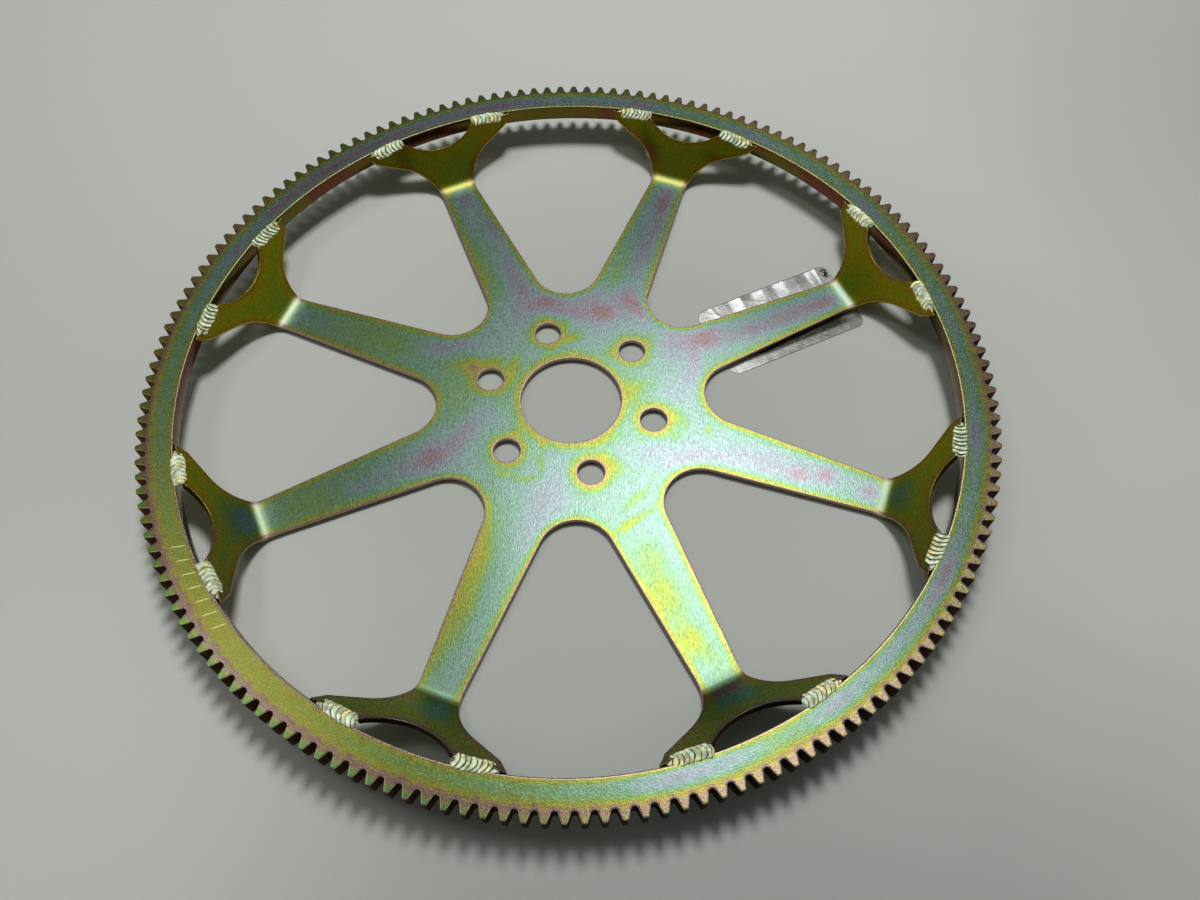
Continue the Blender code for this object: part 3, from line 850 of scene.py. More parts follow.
# The plate as patches on the flat blank, copied round for every half spoke, then bent up at the
# feet. Its attributes are worked out on the blank before it is bent
def makePlate(p, material):
    bend = bendOf(p)
    shape = spokeOutline(p, bend)
    patches, wall, halfAngles = halfSpokePatches(p, bend, shape)
    collector = Collector()
    pitch = 2 * pi / p["spokes"]
    half = p["thickness"] / 2
    for k in range(p["spokes"]):
        for mirror in (False, True):
            angle = pitch / 2 + k * pitch
            for patch in patches:
                collector.addFaces(turnedGrid(patch, angle, mirror), half)
            collector.add(turnedGrid(wall, angle, mirror))
    hubPatches(p, halfAngles, collector)
    mesh = meshFrom("spiderPlate", np.vstack(collector.points), np.vstack(collector.quads))
    closeMesh(mesh, p["mergeReach"])

    # each point's distance along and beside its own spoke, and from the nearest cut edge
    points = readPoints(mesh)
    radius = np.linalg.norm(points[:, :2], axis=1)
    spoke = np.floor(np.arctan2(points[:, 1], points[:, 0]) / pitch)
    angle = pitch / 2 + spoke * pitch
    along = points[:, 0] * np.cos(angle) + points[:, 1] * np.sin(angle)
    side = points[:, 1] * np.cos(angle) - points[:, 0] * np.sin(angle)
    edge = lineDistance(np.stack((along, np.abs(side)), -1), shape["line"])
    edge = np.minimum(edge, p["holeShare"] * np.abs(radius - p["boreRadius"]))
    for hole in np.radians(p["boltAngles"]):
        centre = p["boltCircleRadius"] * np.array((cos(hole), sin(hole)))
        gap = np.linalg.norm(points[:, :2] - centre, axis=1) - p["boltHoleRadius"]
        edge = np.minimum(edge, p["holeShare"] * np.abs(gap))
    writeAttribute(mesh, "edgeDistance", edge)
    writeAttribute(mesh, "wall", eased(half - np.abs(points[:, 2]), *p["wallBand"]))

    # heat from a weld dies away inwards from the blank's edge, and a fold's glint on both sides
    # of its middle as a bell
    weldIn, weldFull, weldOut, weldEnd = p["weldBand"]
    beside = np.abs(side)
    welded = eased(beside, weldIn, weldFull) * (1 - eased(beside, weldOut, weldEnd))
    heat = welded * np.exp(-np.maximum(bend["blankRadius"] - radius, 0) / p["heatReach"])
    writeAttribute(mesh, "heat", p["heat"] * heat)
    footFrom, footTo = bend["start"] + p["footBand"][0], bend["end"] + p["footBand"][1]
    writeAttribute(mesh, "foot", eased(along, footFrom, footTo))
    past = along - bend["start"] - p["foldPlace"]
    fold = np.exp(-((past / np.where(past < 0, *p["foldReach"])) ** 2))
    writeAttribute(mesh, "fold", fold)
    writeAttribute(mesh, "placed", patchFilm(points[:, :2], filmPatches))
    writeAttribute(mesh, "bright", 1 - patchFilm(points[:, :2], dimPatches))
    writeAttribute(mesh, "cool", np.clip(patchFilm(points[:, :2], coldReflectionPatches), 0, 1))
    writeAttribute(mesh, "warm", np.clip(patchFilm(points[:, :2], warmPatches), 0, 1))

    out, height = bentPlace(p, bend, along, points[:, 2])
    bent = np.stack((
        out * np.cos(angle) - side * np.sin(angle),
        out * np.sin(angle) + side * np.cos(angle),
        height,
    ), -1)
    writePoints(mesh, bent * mm)
    addPiece("spiderPlate", mesh, material, "plated_plate", "spider_plate")
    return bend


bend = makePlate(plate, plateMaterial(platePaint))
print("spider plate made")


ring = {
    "teeth": 164,
    "innerRadius": 165.1,
    "bodyWidth": 10.9,
    "thickness": 9.5,
    "top": 20.65,
    "innerBreak": 0.5,
    "lowerBevel": 2.4,
    "pressureAngle": 20.0,
    "addendum": 0.8,
    "dedendum": 1.2,
    "thinning": 0.3,
    "rootRounding": 1.0,
    "edgeRadius": 0.24,
    "edgeTurns": (0.0, 30.0, 60.0, 90.0),
    "circles": (0.9, 1.5, 2.4, 3.4, 4.6, 6.0, 7.4, 8.6, 9.6),
    "outlineWidth": 0.36,
    "betweenCircles": (0.34, 0.68, 1.0),
    "lowerCircles": (3.4, 6.4, 9.4),
    "gapTurns": (90.0, 62.0, 36.0, 14.0),
    "flankSteps": (0.0, 1.2, 2.3),
    "tipDrop": 0.25,
    "tipShare": 0.80,
    "breakDistance": 0.3,
    "landDistance": 0.6,
    "bevelSlack": (0.2, 0.1),
    "bevelShade": 0.2,
    "mergeReach": 0.002,
}


# Half the angle that a tooth takes up at one radius: half its width on the pitch circle, plus
# the involute function of the pressure angle, minus that of the flank's own angle
def toothHalfAngle(radius, p, pitch):
    width = pi * pitch / p["teeth"] - p["thinning"]
    pressure = radians(p["pressureAngle"])
    flank = np.arccos(np.minimum(1, pitch * cos(pressure) / np.asarray(radius)))
    return width / (2 * pitch) + tan(pressure) - pressure - (np.tan(flank) - flank)


# Angles and radii of the toothed edge all the way round: half a gap, a flank, the tip land, and
# the same mirrored, repeated for every tooth
def toothedEdge(p):
    root = p["innerRadius"] + p["bodyWidth"]
    module = 2 * root / (p["teeth"] - 2 * p["dedendum"])
    pitch = module * p["teeth"] / 2
    tip = pitch + p["addendum"] * module
    halfPitch = pi / p["teeth"]
    foot = root + p["rootRounding"]
    sweep = np.radians(p["gapTurns"])
    gapRadii = foot - p["rootRounding"] * np.sin(sweep)
    gapAngles = halfPitch - (halfPitch - toothHalfAngle(foot, p, pitch)) * np.cos(sweep)
    flankRadii = np.append(foot + np.array(p["flankSteps"]), tip - p["tipDrop"])
    flankAngles = toothHalfAngle(flankRadii, p, pitch)
    tipAngle = toothHalfAngle(tip, p, pitch)
    radii = np.concatenate((gapRadii, flankRadii, [tip]))
    halves = np.concatenate((gapAngles, flankAngles, [tipAngle * p["tipShare"]]))
    radii = np.concatenate((radii, [tip], radii[:0:-1]))
    halves = np.concatenate((-halves, [0.0], halves[:0:-1]))
    angles = halves[None] + 2 * halfPitch * np.arange(p["teeth"])[:, None]
    return angles.ravel(), np.tile(radii, p["teeth"])


# The ring as one closed sheet of rows, each a loop round the axis: out over the top from the
# broken inner edge to the teeth, down their walls, back under, and up a bevel and the inner wall
def makeRing(p, material):
    angles, radii = toothedEdge(p)
    count = len(angles)
    even = angles[0] + np.arange(count) * 2 * pi / count
    edge = np.stack((radii * np.cos(angles), radii * np.sin(angles)), -1)
    step = np.roll(edge, -1, 0) - edge
    step /= np.linalg.norm(step, axis=1)[:, None]
    normal = np.stack((step[:, 1], -step[:, 0]), -1)
    before = np.roll(normal, 1, 0)
    mitre = (normal + before) / (1 + np.sum(normal * before, 1))[:, None]
    top, bottom = p["top"], p["top"] - p["thickness"]
    e, inner = p["edgeRadius"], p["innerRadius"]

    # the loops in order, with each one's wall share, distances from both edges, and share of the
    # painted edge highlight
    loops, walls, fromInner, fromTeeth, outline = [], [], [], [], []

    # Adds one loop: its outline at one height, with its four numbers
    def loop(flat, height, wall, inside, teeth, line=0.0):
        loops.append(np.concatenate((flat, np.full((count, 1), height)), 1))
        walls.append(wall)
        fromInner.append(inside)
        fromTeeth.append(teeth)
        outline.append(line)

    # Points of a circle, evenly spaced at share 0 and in line with the teeth's own at share 1
    def circle(radius, share):
        turn = even + (angles - even) * share
        return np.stack((radius * np.cos(turn), radius * np.sin(turn)), -1)

    broken, body, near = p["innerBreak"], p["bodyWidth"], p["breakDistance"]
    turns = np.radians(p["edgeTurns"])
    for a in turns:
        height = top - broken * (1 - sin(a))
        loop(circle(inner + broken * (1 - cos(a)), 0), height, 1 - sin(a) ** 2, near, body)
    for width in p["circles"]:
        loop(circle(inner + width, width / body), top, 0, width, body - width)
    last = circle(inner + p["circles"][-1], p["circles"][-1] / body)
    lined = edge - (e + p["outlineWidth"]) * mitre
    for share in p["betweenCircles"]:
        loop(last + (lined - last) * share, top, 0, body, p["landDistance"] * (1 - share))
    for a in turns:
        loop(edge - e * (1 - sin(a)) * mitre, top - e * (1 - cos(a)), sin(a) ** 2, body, 0, 1.0)
    for a in turns[::-1]:
        loop(edge - e * (1 - sin(a)) * mitre, bottom + e * (1 - cos(a)), 1, body, 0)
    for width in p["lowerCircles"][::-1]:
        loop(circle(inner + width, width / body), bottom, 0.5, width, body - width)
    bevel, (far, close) = p["lowerBevel"], p["bevelSlack"]
    corners = (bevel + far, 0), (bevel - close, close), (close, bevel - close), (0, bevel + far)
    for inset, rise in corners:
        wall = 1 - p["bevelShade"] * inset
        loop(circle(inner + inset, 0), bottom + rise, wall, near, body)

    grid = np.array(loops)
    mesh = meshFrom("ringGear", grid.reshape(-1, 3) * mm, gridQuads(
        len(grid), count, closeRows=True, closeColumns=True))
    writeAttribute(mesh, "wall", np.repeat(walls, count))
    writeAttribute(mesh, "fromInner", np.repeat(fromInner, count))
    writeAttribute(mesh, "fromTeeth", np.repeat(fromTeeth, count))
    degrees = np.degrees(even) % 360
    for names, table in ((("film",), ringFilm), (("level",), ringLevel), (toothNames, toothFilm)):
        at, *columns = np.array(table).T
        for name, column in zip(names, columns):
            values = np.tile(np.interp(degrees, at, column), len(grid))
            if name == "outlineShine":
                values = values * np.repeat(outline, count)
            writeAttribute(mesh, name, values)
    closeMesh(mesh, p["mergeReach"] * mm)
    addPiece("ringGear", mesh, material, "plated_ring", "ring_gear")


# Film along the middle of the ring's face, at angles in degrees
ringFilm = (
    (0, 0.56), (10, 0.68), (16, 0.52), (26, 0.45), (33, 0.84), (38, 0.60), (50, 0.62),
    (57, 0.85), (62, 0.57), (70, 0.55), (76, 0.96), (81, 0.78), (88, 0.72), (95, 0.84),
    (100, 0.95), (110, 0.87), (130, 0.97), (144, 0.95), (149, 0.62), (153, 0.88), (158, 0.62),
    (172, 0.50), (188, 0.42), (197, 0.32), (215, 0.24), (238, 0.27), (250, 0.33), (262, 0.42),
    (272, 0.52), (281, 0.82), (288, 0.74), (293, 0.44), (297, 0.50), (302, 0.86), (308, 0.66),
    (318, 0.72), (326, 0.96), (333, 0.62), (343, 0.60), (348, 0.87), (353, 0.60), (360, 0.56),
)
# Teeth at angles in degrees: film at root and tip, share of pink at root and tip, strength of the
# painted highlight on their edges, painted light of the tooth and of its wall, how many mm further
# out its pink lies, and share of green at the tip
toothNames = (
    "rootFilm", "tipFilm", "rootPink", "tipPink", "outlineShine", "toothLevel", "wallLevel",
    "pinkOut", "tipGreen",
)
toothFilm = (
    (0, 0.08, 0.00, 0.55, 0.70, 0.40, 0.95, 0.9, 0.2, 0.0),
    (30, 0.14, 0.01, 0.30, 0.65, 0.12, 0.90, 0.9, 0.4, 0.0),
    (55, 0.15, 0.01, 0.35, 0.80, 0.0, 0.85, 0.9, 0.2, 0.0),
    (90, 0.42, 0.36, 0.0, 0.05, 0.0, 0.52, 1.0, 0.0, 0.0),
    (130, 0.34, 0.18, 0.05, 0.15, 0.0, 0.62, 1.0, 0.0, 0.0),
    (150, 0.16, 0.05, 0.30, 0.45, 0.0, 0.75, 1.2, 0.0, 0.0),
    (180, 0.12, 0.20, 0.40, 0.05, 0.0, 0.58, 2.2, 0.0, 0.0),
    (198, 0.12, 0.30, 0.85, 0.0, 0.10, 0.66, 1.3, 0.0, 0.35),
    (206, 0.14, 0.32, 1.0, 0.0, 0.15, 0.72, 0.8, 0.0, 0.6),
    (220, 0.16, 0.37, 1.0, 0.0, 0.50, 1.35, 0.7, 0.0, 0.9),
    (232, 0.16, 0.38, 1.0, 0.0, 0.50, 1.15, 0.6, 0.0, 0.75),
    (250, 0.12, 0.40, 0.95, 0.05, 0.75, 0.90, 0.7, 0.0, 0.3),
    (264, 0.10, 0.24, 0.85, 0.15, 0.85, 1.05, 0.5, 0.8, 0.0),
    (276, 0.14, 0.28, 0.95, 0.45, 1.0, 1.20, 0.35, 1.2, 0.0),
    (300, 0.18, 0.20, 1.0, 0.60, 1.0, 1.50, 0.35, 1.2, 0.0),
    (328, 0.24, 0.20, 0.90, 0.45, 0.90, 1.85, 0.8, 1.2, 0.0),
    (345, 0.18, 0.14, 0.95, 0.40, 0.60, 1.45, 0.9, 0.9, 0.0),
    (360, 0.08, 0.00, 0.55, 0.70, 0.40, 0.95, 0.9, 0.2, 0.0),
)
# Brightness of the ring's face, at angles in degrees, as the photograph's light leaves it
ringLevel = (
    (0, 0.72), (30, 0.88), (50, 1.06), (75, 1.0), (90, 1.02), (115, 0.95), (132, 0.84),
    (150, 1.0), (180, 1.14), (212, 1.12), (222, 1.28), (235, 1.16), (250, 1.0), (275, 0.92),
    (300, 0.80), (330, 0.72), (360, 0.72),
)
# Radii from the axis are in metres here, as the shader sees them, and distances from an edge in mm
ringPaint = {
    "driftNoise": {"size": 25, "detail": 2.0, "distortion": 0.4},
    "mottleNoise": {"size": 4, "detail": 5.0, "roughness": 0.65},
    "grainNoise": {"size": 0.7, "detail": 3.0, "roughness": 0.6},
    "lineNoise": {"size": 0.45, "detail": 4.0, "roughness": 0.7},
    "lineDrag": 0.012,
    "drift": 0.14,
    "mottle": 0.34,
    "grain": 0.09,
    "streaks": 0.42,
    "speckle": 0.40,
    "lineSpeckle": 0.9,
    "mottleSpeckle": 0.6,
    "toothCalm": -0.7,
    "innerReach": 1.9,
    "innerMottle": 1.6,
    "outerReach": 3.1,
    "outerMottle": 2.2,
    "rimPower": 1.8,
    "toothBand": (0.1745, 0.1768),
    "tipBand": (0.1762, 0.1792),
    "toothMottle": 0.16,
    "gapBand": (0.15, 0.5),
    "pinkFrom": 0.1751,
    "pinkWedge": -0.0021,
    "pinkMottle": 0.006,
    "pinkBand": (-0.0004, 0.0008),
    "pinkEnd": (0.1766, 0.1784),
    "pinkWorn": (-0.20, 0.05),
    "pinkWornShare": 0.55,
    "pink": (0.82, 0.50, 0.45),
    "green": (0.34, 0.90, 0.15),
    # the colour of the painted highlight on the teeth's rounded edges
    "outline": (1.0, 0.88, 0.76),
    # a painted highlight along the broken inner edge
    "innerHighlightBand": (0.32, 0.60),
    "innerHighlightShare": 0.85,
    "innerEdgeHighlight": (1.0, 0.92, 0.68),
    "wallBand": (0.1656, 0.1662),
    "oliveBand": (-0.06, 0.10),
    # painted shade on the walls: dark tints for the teeth and the inner wall
    "toothWallShade": (0.100, 0.042, 0.012),
    "innerWallShade": (0.16, 0.058, 0.040),
    "oliveWallShade": (0.14, 0.120, 0.022),
    "roughness": 0.25,
    "roughGrain": 0.22,
    "roughDull": 0.5,
    "dullMetal": 0.95,
    "specular": 0.1,
    "bumpHeight": 0.00006,
    "bumpStrength": 0.5,
}
# Chatter marks, over a short stretch of the face given in degrees: one slanting scored line for
# each tooth, its width as a share of the pitch, and where it starts and ends in mm from the wall.
# The lines are real; their cream colour is a painted highlight where they catch the light
chatter = {
    "stretch": (203.0, 220.0),
    "fade": 0.02,  # radians
    "slant": 0.05,  # teeth for each mm outwards
    "width": 0.055,
    "share": 0.8,
    "startBand": (1.6, 2.8),
    "endBand": (5.6, 7.6),
    "colour": (1.0, 0.93, 0.50),
    "bare": -0.85,
}


# How strongly a place lies on a scored line: near a whole number of the turn counted in teeth and
# slanted by the radius, times the fade at both ends of the stretch and of the line
def chatterLine(tree, p, turn, around, radius, inner):
    slanted = summed(tree, turn, (radius, p["slant"] / mm))
    low, high = ((degrees - 360) * pi / 180 for degrees in p["stretch"])
    return product(
        tree,
        faded(tree, maths(tree, "PINGPONG", slanted, 0.5), 0.0, p["width"], p["share"]),
        eased01(tree, around, low, low + p["fade"]),
        faded(tree, around, high - p["fade"], high),
        eased01(tree, inner, *p["startBand"]),
        faded(tree, inner, *p["endBand"]),
    )


# The film as on the plate, with a thickness by angle round the ring and noise drawn out along the
# turning lines. The teeth have their own film and tints; painted light by angle brightens the face
# and the teeth, and painted highlights run along the teeth's edges, the broken inner edge and the
# scored lines. Both walls get painted shade as dark tints; the walls of the teeth are dull, and the
# scored lines bare
def ringMaterial(p):
    material, tree, place = newMaterial("yellowZincRing")
    x, y, _ = coordinates(tree, place)
    around = maths(tree, "ARCTAN2", y, x)
    squared = maths(tree, "MULTIPLY_ADD", y, y, product(tree, x, x))
    radius = maths(tree, "SQRT", squared)
    drift = noiseOf(tree, place, **p["driftNoise"])
    mottle = noiseOf(tree, place, **p["mottleNoise"])
    grain = noiseOf(tree, place, **p["grainNoise"])
    dragged = product(tree, around, p["lineDrag"])
    spun = put(tree, "ShaderNodeCombineXYZ", {0: radius, 1: dragged}).outputs[0]
    lines = noiseOf(tree, spun, **p["lineNoise"])

    teeth, inner = attribute(tree, "fromTeeth"), attribute(tree, "fromInner")
    thickness = summed(tree, attribute(tree, "film"), (drift, p["drift"]), (mottle, p["mottle"]))
    innerReach = summed(tree, p["innerReach"], (mottle, p["innerMottle"]))
    outerReach = summed(tree, p["outerReach"], (mottle, p["outerMottle"]))
    thickness = product(
        tree, thickness, filmFullness(tree, inner, innerReach, p["rimPower"]),
        filmFullness(tree, teeth, outerReach, p["rimPower"]))
    thickness = summed(tree, thickness, (grain, p["grain"]), (lines, p["streaks"]), clamp=True)
    colour = filmRamp(tree, thickness)

    # out along each tooth its own film, from the colour at its root to the one at its tip
    onTooth = eased01(tree, radius, *p["toothBand"])
    outward = eased01(tree, radius, *p["tipBand"])
    tooth = mixed(tree, outward, attribute(tree, "rootFilm"), attribute(tree, "tipFilm"))
    tooth = summed(tree, tooth, (mottle, p["toothMottle"]), clamp=True)
    colour = mixColour(tree, onTooth, colour, filmRamp(tree, tooth))

    # pink at the roots, in a wedge that points inwards from every gap, and at some tips
    turn = product(tree, around, ring["teeth"] / (2 * pi))
    nearGap = eased01(tree, maths(tree, "PINGPONG", turn, 0.5), *p["gapBand"])
    start = summed(tree, p["pinkFrom"], (nearGap, p["pinkWedge"]), (mottle, p["pinkMottle"]))
    shifted = summed(tree, radius, (attribute(tree, "pinkOut"), -mm))
    pink = product(
        tree, eased01(tree, maths(tree, "SUBTRACT", shifted, start), *p["pinkBand"]),
        faded(tree, shifted, *p["pinkEnd"]), attribute(tree, "rootPink"))
    pink = maths(tree, "MAXIMUM", pink, product(tree, outward, attribute(tree, "tipPink")))
    worn = eased01(tree, mottle, *p["pinkWorn"], bottom=p["pinkWornShare"])
    colour = mixColour(tree, product(tree, pink, worn), colour, p["pink"])
    green = product(tree, outward, attribute(tree, "tipGreen"))
    colour = mixColour(tree, green, colour, p["green"])

    # speckles, which are calmer on the teeth, and the painted light of face and teeth by angle
    calmer = summed(tree, 1.0, (onTooth, p["toothCalm"]))
    speckles = (grain, p["speckle"]), (lines, p["lineSpeckle"]), (mottle, p["mottleSpeckle"])
    for noise, strength in speckles:
        colour = speckled(tree, colour, product(tree, noise, calmer), strength)
    toothLevel = mixed(tree, onTooth, 1.0, attribute(tree, "toothLevel"))
    colour = scaled(tree, colour, product(tree, attribute(tree, "level"), toothLevel))
    # a painted highlight on the rounded edges of the teeth, strongest on the near side
    colour = mixColour(tree, attribute(tree, "outlineShine"), colour, p["outline"])
    # a painted highlight along the broken inner edge
    innerHighlight = faded(tree, inner, *p["innerHighlightBand"], p["innerHighlightShare"])
    colour = mixColour(tree, innerHighlight, colour, p["innerEdgeHighlight"])

    # painted shade: the inner wall is the finish tinted dark, the walls of the teeth a plain dark
    # colour
    wall = attribute(tree, "wall")
    onInner = faded(tree, radius, *p["wallBand"])
    innerTint = mixColour(
        tree, eased01(tree, drift, *p["oliveBand"]), p["innerWallShade"], p["oliveWallShade"])
    tint = mixColour(tree, onInner, p["toothWallShade"], innerTint)
    tint = scaled(tree, tint, mixed(tree, onInner, attribute(tree, "wallLevel"), 1.0))
    dark = mixColour(tree, onInner, tint, tinted(tree, colour, tint))
    colour = mixColour(tree, wall, colour, dark)
    dull = product(tree, wall, maths(tree, "SUBTRACT", 1.0, onInner))

    # the scored lines: real marks, painted bright cream as a highlight
    scored = chatterLine(tree, chatter, turn, around, radius, inner)
    bare = summed(tree, 1.0, (scored, chatter["bare"]))
    finishWith(tree, {
        "Base Color": mixColour(tree, scored, colour, chatter["colour"]),
        "Roughness": summed(
            tree, p["roughness"], (grain, p["roughGrain"]), (dull, p["roughDull"]), clamp=True),
        "Metallic": maths(
            tree, "SUBTRACT", bare, product(tree, dull, p["dullMetal"]), clamp=True),
        "Specular IOR Level": p["specular"],
        "Normal": bumpOf(tree, grain, p["bumpHeight"], p["bumpStrength"]),
    })
    return material


makeRing(ring, ringMaterial(ringPaint))
print("ring gear made")


bead = {
    "start": 18.0,
    "end": 35.6,
    "rows": 132,
    "topColumns": 30,
    "lowerColumns": 12,
    "crown": 0.80,
    "crownWander": 0.16,
    "toeDrop": 0.10,
    "prongToe": 1.5,
    "prongWander": 0.28,
    "ringToe": 1.1,
    "ringWander": 0.30,
    "ringBite": 0.4,
    "scallop": 0.07,
    "ripplePitch": 2.0,
    "rippleHeight": 0.52,
    "rippleBow": 1.6,
    "rippleWander": 0.22,
    "rippleClimb": 0.7,
    "rippleFall": 1.2,
    "rippleDrop": (0.80, 1.0),
    "archPower": 0.8,
    "forkCap": 1.8,
    "tipCap": 6.0,
    "sunk": 0.45,
    "hang": 1.7,
    "hangLeast": 0.25,
    "pinch": 0.24,
    "middleDrop": 0.35,
    "endSize": 0.05,
    "waves": (1.3, 2.7, 4.9),
    "otherWaves": (1.7, 3.1, 5.3),
    "waveHeight": (0.3, 1),
    "waveSum": 2.2,
    "seed": 40,
    "mergeReach": 0.0005,
}


# A slow wander from about -1 to 1 along a bead: three sine waves of random height and phase
def wander(p, u, waves, random):
    return sum(
        random.uniform(*p["waveHeight"]) * np.sin(2 * pi * (n * u + random.uniform()))
        for n in waves
    ) / p["waveSum"]


# One bead, in the frame of its spoke. Rows run along the bead and columns round its section:
# a crowned arc from the toe on the prong to the toe on the ring, and a hanging arc back below.
# Crescents, each one a scale that climbs and drops away, run along the arc. Also returns, for
# each point, its share of the way through a scale and how high it is on the arc
def beadGrid(p, bend, random, travel):
    u = np.linspace(0, 1, p["rows"])[:, None]
    side = p["start"] + (p["end"] - p["start"]) * u
    wobble, other = (wander(p, u, p[name], random) for name in ("waves", "otherWaves"))
    cap = np.minimum((side - p["start"]) / p["forkCap"], (p["end"] - side) / p["tipCap"])
    swell = np.sqrt(np.clip(1 - (1 - np.clip(cap, 0, 1)) ** 2, 0, 1))

    # both toes, on the prong's upper face and on top of the ring
    phase = travel * side / p["ripplePitch"] + random.uniform() + p["rippleWander"] * wobble
    scallop = p["scallop"] * np.cos(2 * pi * phase)
    prongReach = p["prongToe"] * (1 + p["prongWander"] * wobble + scallop) * swell
    ringReach = p["ringToe"] * (1 + p["ringWander"] * other + scallop) * swell
    blank = np.sqrt(bend["blankRadius"] ** 2 - side**2)
    prongX, prongZ = bentPlace(plate, bend, blank - prongReach, plate["thickness"] / 2)
    ringX = np.sqrt((plate["ringRadius"] + p["ringBite"] + ringReach) ** 2 - side**2)
    ringZ = np.full_like(ringX, plate["ringTop"])

    # above: the straight line between the toes, raised by the crown and the scales
    v = np.linspace(0, 1, p["topColumns"])[None]
    prong = np.stack((prongX, prongZ), -1)
    across = np.stack((ringX - prongX, ringZ - prongZ), -1)
    length = np.linalg.norm(across, axis=-1)
    out = np.stack((-across[..., 1], across[..., 0]), -1) / length[..., None]
    bow = p["rippleBow"] * (1 - (2 * v - 1) ** 2)
    scale = (phase - travel * bow / p["ripplePitch"] * travel) % 1.0
    drop = p["rippleFall"] * eased(scale, *p["rippleDrop"])
    ripple = p["rippleHeight"] * (scale ** p["rippleClimb"] - drop)
    arch = (4 * v * (1 - v)) ** p["archPower"]
    crown = p["crown"] * (1 + p["crownWander"] * other) * swell * arch
    height = crown + ripple * swell * arch**0.5 - p["toeDrop"] * (1 - arch)
    upper = prong + v[..., None] * across + height[..., None] * out

    # below: into the ring, round a hanging belly in the gap, and into the prong
    w = np.linspace(0, 1, p["lowerColumns"] + 2)[None, 1:-1]
    full = p["hangLeast"] + (1 - p["hangLeast"]) * swell
    belly = p["sunk"] + (p["hang"] - p["sunk"]) * np.sin(pi * w) * full
    inward = 1 - p["pinch"] * np.sin(pi * w)
    centre = prong + 0.5 * across
    lower = centre + (0.5 - w[..., None]) * inward[..., None] * across - belly[..., None] * out

    # the whole section shrinks towards its middle at both ends
    section = np.concatenate((upper, lower), 1)
    middle = centre - p["middleDrop"] * out
    shrink = p["endSize"] + (1 - p["endSize"]) * swell[..., None]
    section = middle + (section - middle) * shrink
    y = np.broadcast_to(side, section.shape[:2])
    grid = np.stack((section[..., 0], y, section[..., 1]), -1)
    scales = np.concatenate((scale * np.ones_like(v), np.full_like(belly, 0.5)), 1)
    arches = np.concatenate((np.broadcast_to(arch, upper.shape[:2]), np.zeros_like(belly)), 1)
    return grid, scales, arches


# A bead turned to its place, with both ends closed by a fan of triangles round their middle
def makeBead(p, bend, index, material):
    random = np.random.default_rng(p["seed"] + index)
    spoke, mirrored = index // 2, index % 2 == 0
    grid, scales, arches = beadGrid(p, bend, random, 1 if index % 3 else -1)
    pitch = 2 * pi / plate["spokes"]
    grid = turnedGrid(grid, pitch / 2 + spoke * pitch, mirrored)
    rows, columns = grid.shape[:2]
    points = np.vstack((grid.reshape(-1, 3), grid[0].mean(0), grid[-1].mean(0)))
    faces = gridQuads(rows, columns, closeColumns=True).tolist()
    around = np.arange(columns)
    ahead = np.roll(around, -1)
    lastRow, middle = (rows - 1) * columns, rows * columns
    faces += np.stack((around, ahead, np.full(columns, middle)), -1).tolist()
    around, ahead = around + lastRow, ahead + lastRow
    faces += np.stack((ahead, around, np.full(columns, middle + 1)), -1).tolist()
    name = f"weldBead{index + 1:02d}"
    mesh = bpy.data.meshes.new(name)
    mesh.from_pydata((points * mm).tolist(), [], faces)
    writeAttribute(mesh, "ripple", np.append(scales, (0.5, 0.5)))
    writeAttribute(mesh, "arch", np.append(arches, (0.0, 0.0)))
    closeMesh(mesh, p["mergeReach"] * mm)
    addPiece(name, mesh, material, "plated_weld", f"weld_bead_{index + 1:02d}")


weldPaint = {
    "patchNoise": {"size": 5, "detail": 3.0},
    "grainNoise": {"size": 0.5, "detail": 2.0},
    "fleckNoise": {"size": 2.4, "detail": 2.0, "roughness": 0.6},
    "base": 0.42,
    "patches": 1.3,
    "ripple": 0.22,
    # pale: partly the bead's own colour, partly a painted highlight
    "pale": (1.0, 1.0, 0.86),
    "paleShare": 0.58,
    "gold": (1.0, 0.92, 0.34),
    "goldBand": (-0.02, 0.12),
    "goldShare": 0.85,
    # painted shade: dull scales that don't catch the light, the dark groove where each scale ends,
    # and the low start of each scale after it
    "dull": (0.32, 0.35, 0.20),
    "dullBand": (-0.10, 0.07),
    "dullShare": 0.75,
    "grooveShade": (0.03, 0.05, 0.025),
    "grooveBand": (0.64, 0.84),
    "grooveShare": 0.95,
    "after": (0.22, 0.24, 0.11),
    "afterBand": (0.02, 0.22),
    "afterShare": 0.55,
    "toe": (0.24, 0.18, 0.05),
    "toeBand": (0.05, 0.55),
    "toeShare": 0.85,
    "roughness": 0.15,
    "roughGrain": 0.2,
    "metallic": 0.20,
    "bumpHeight": 0.00004,
    "bumpStrength": 0.5,
}


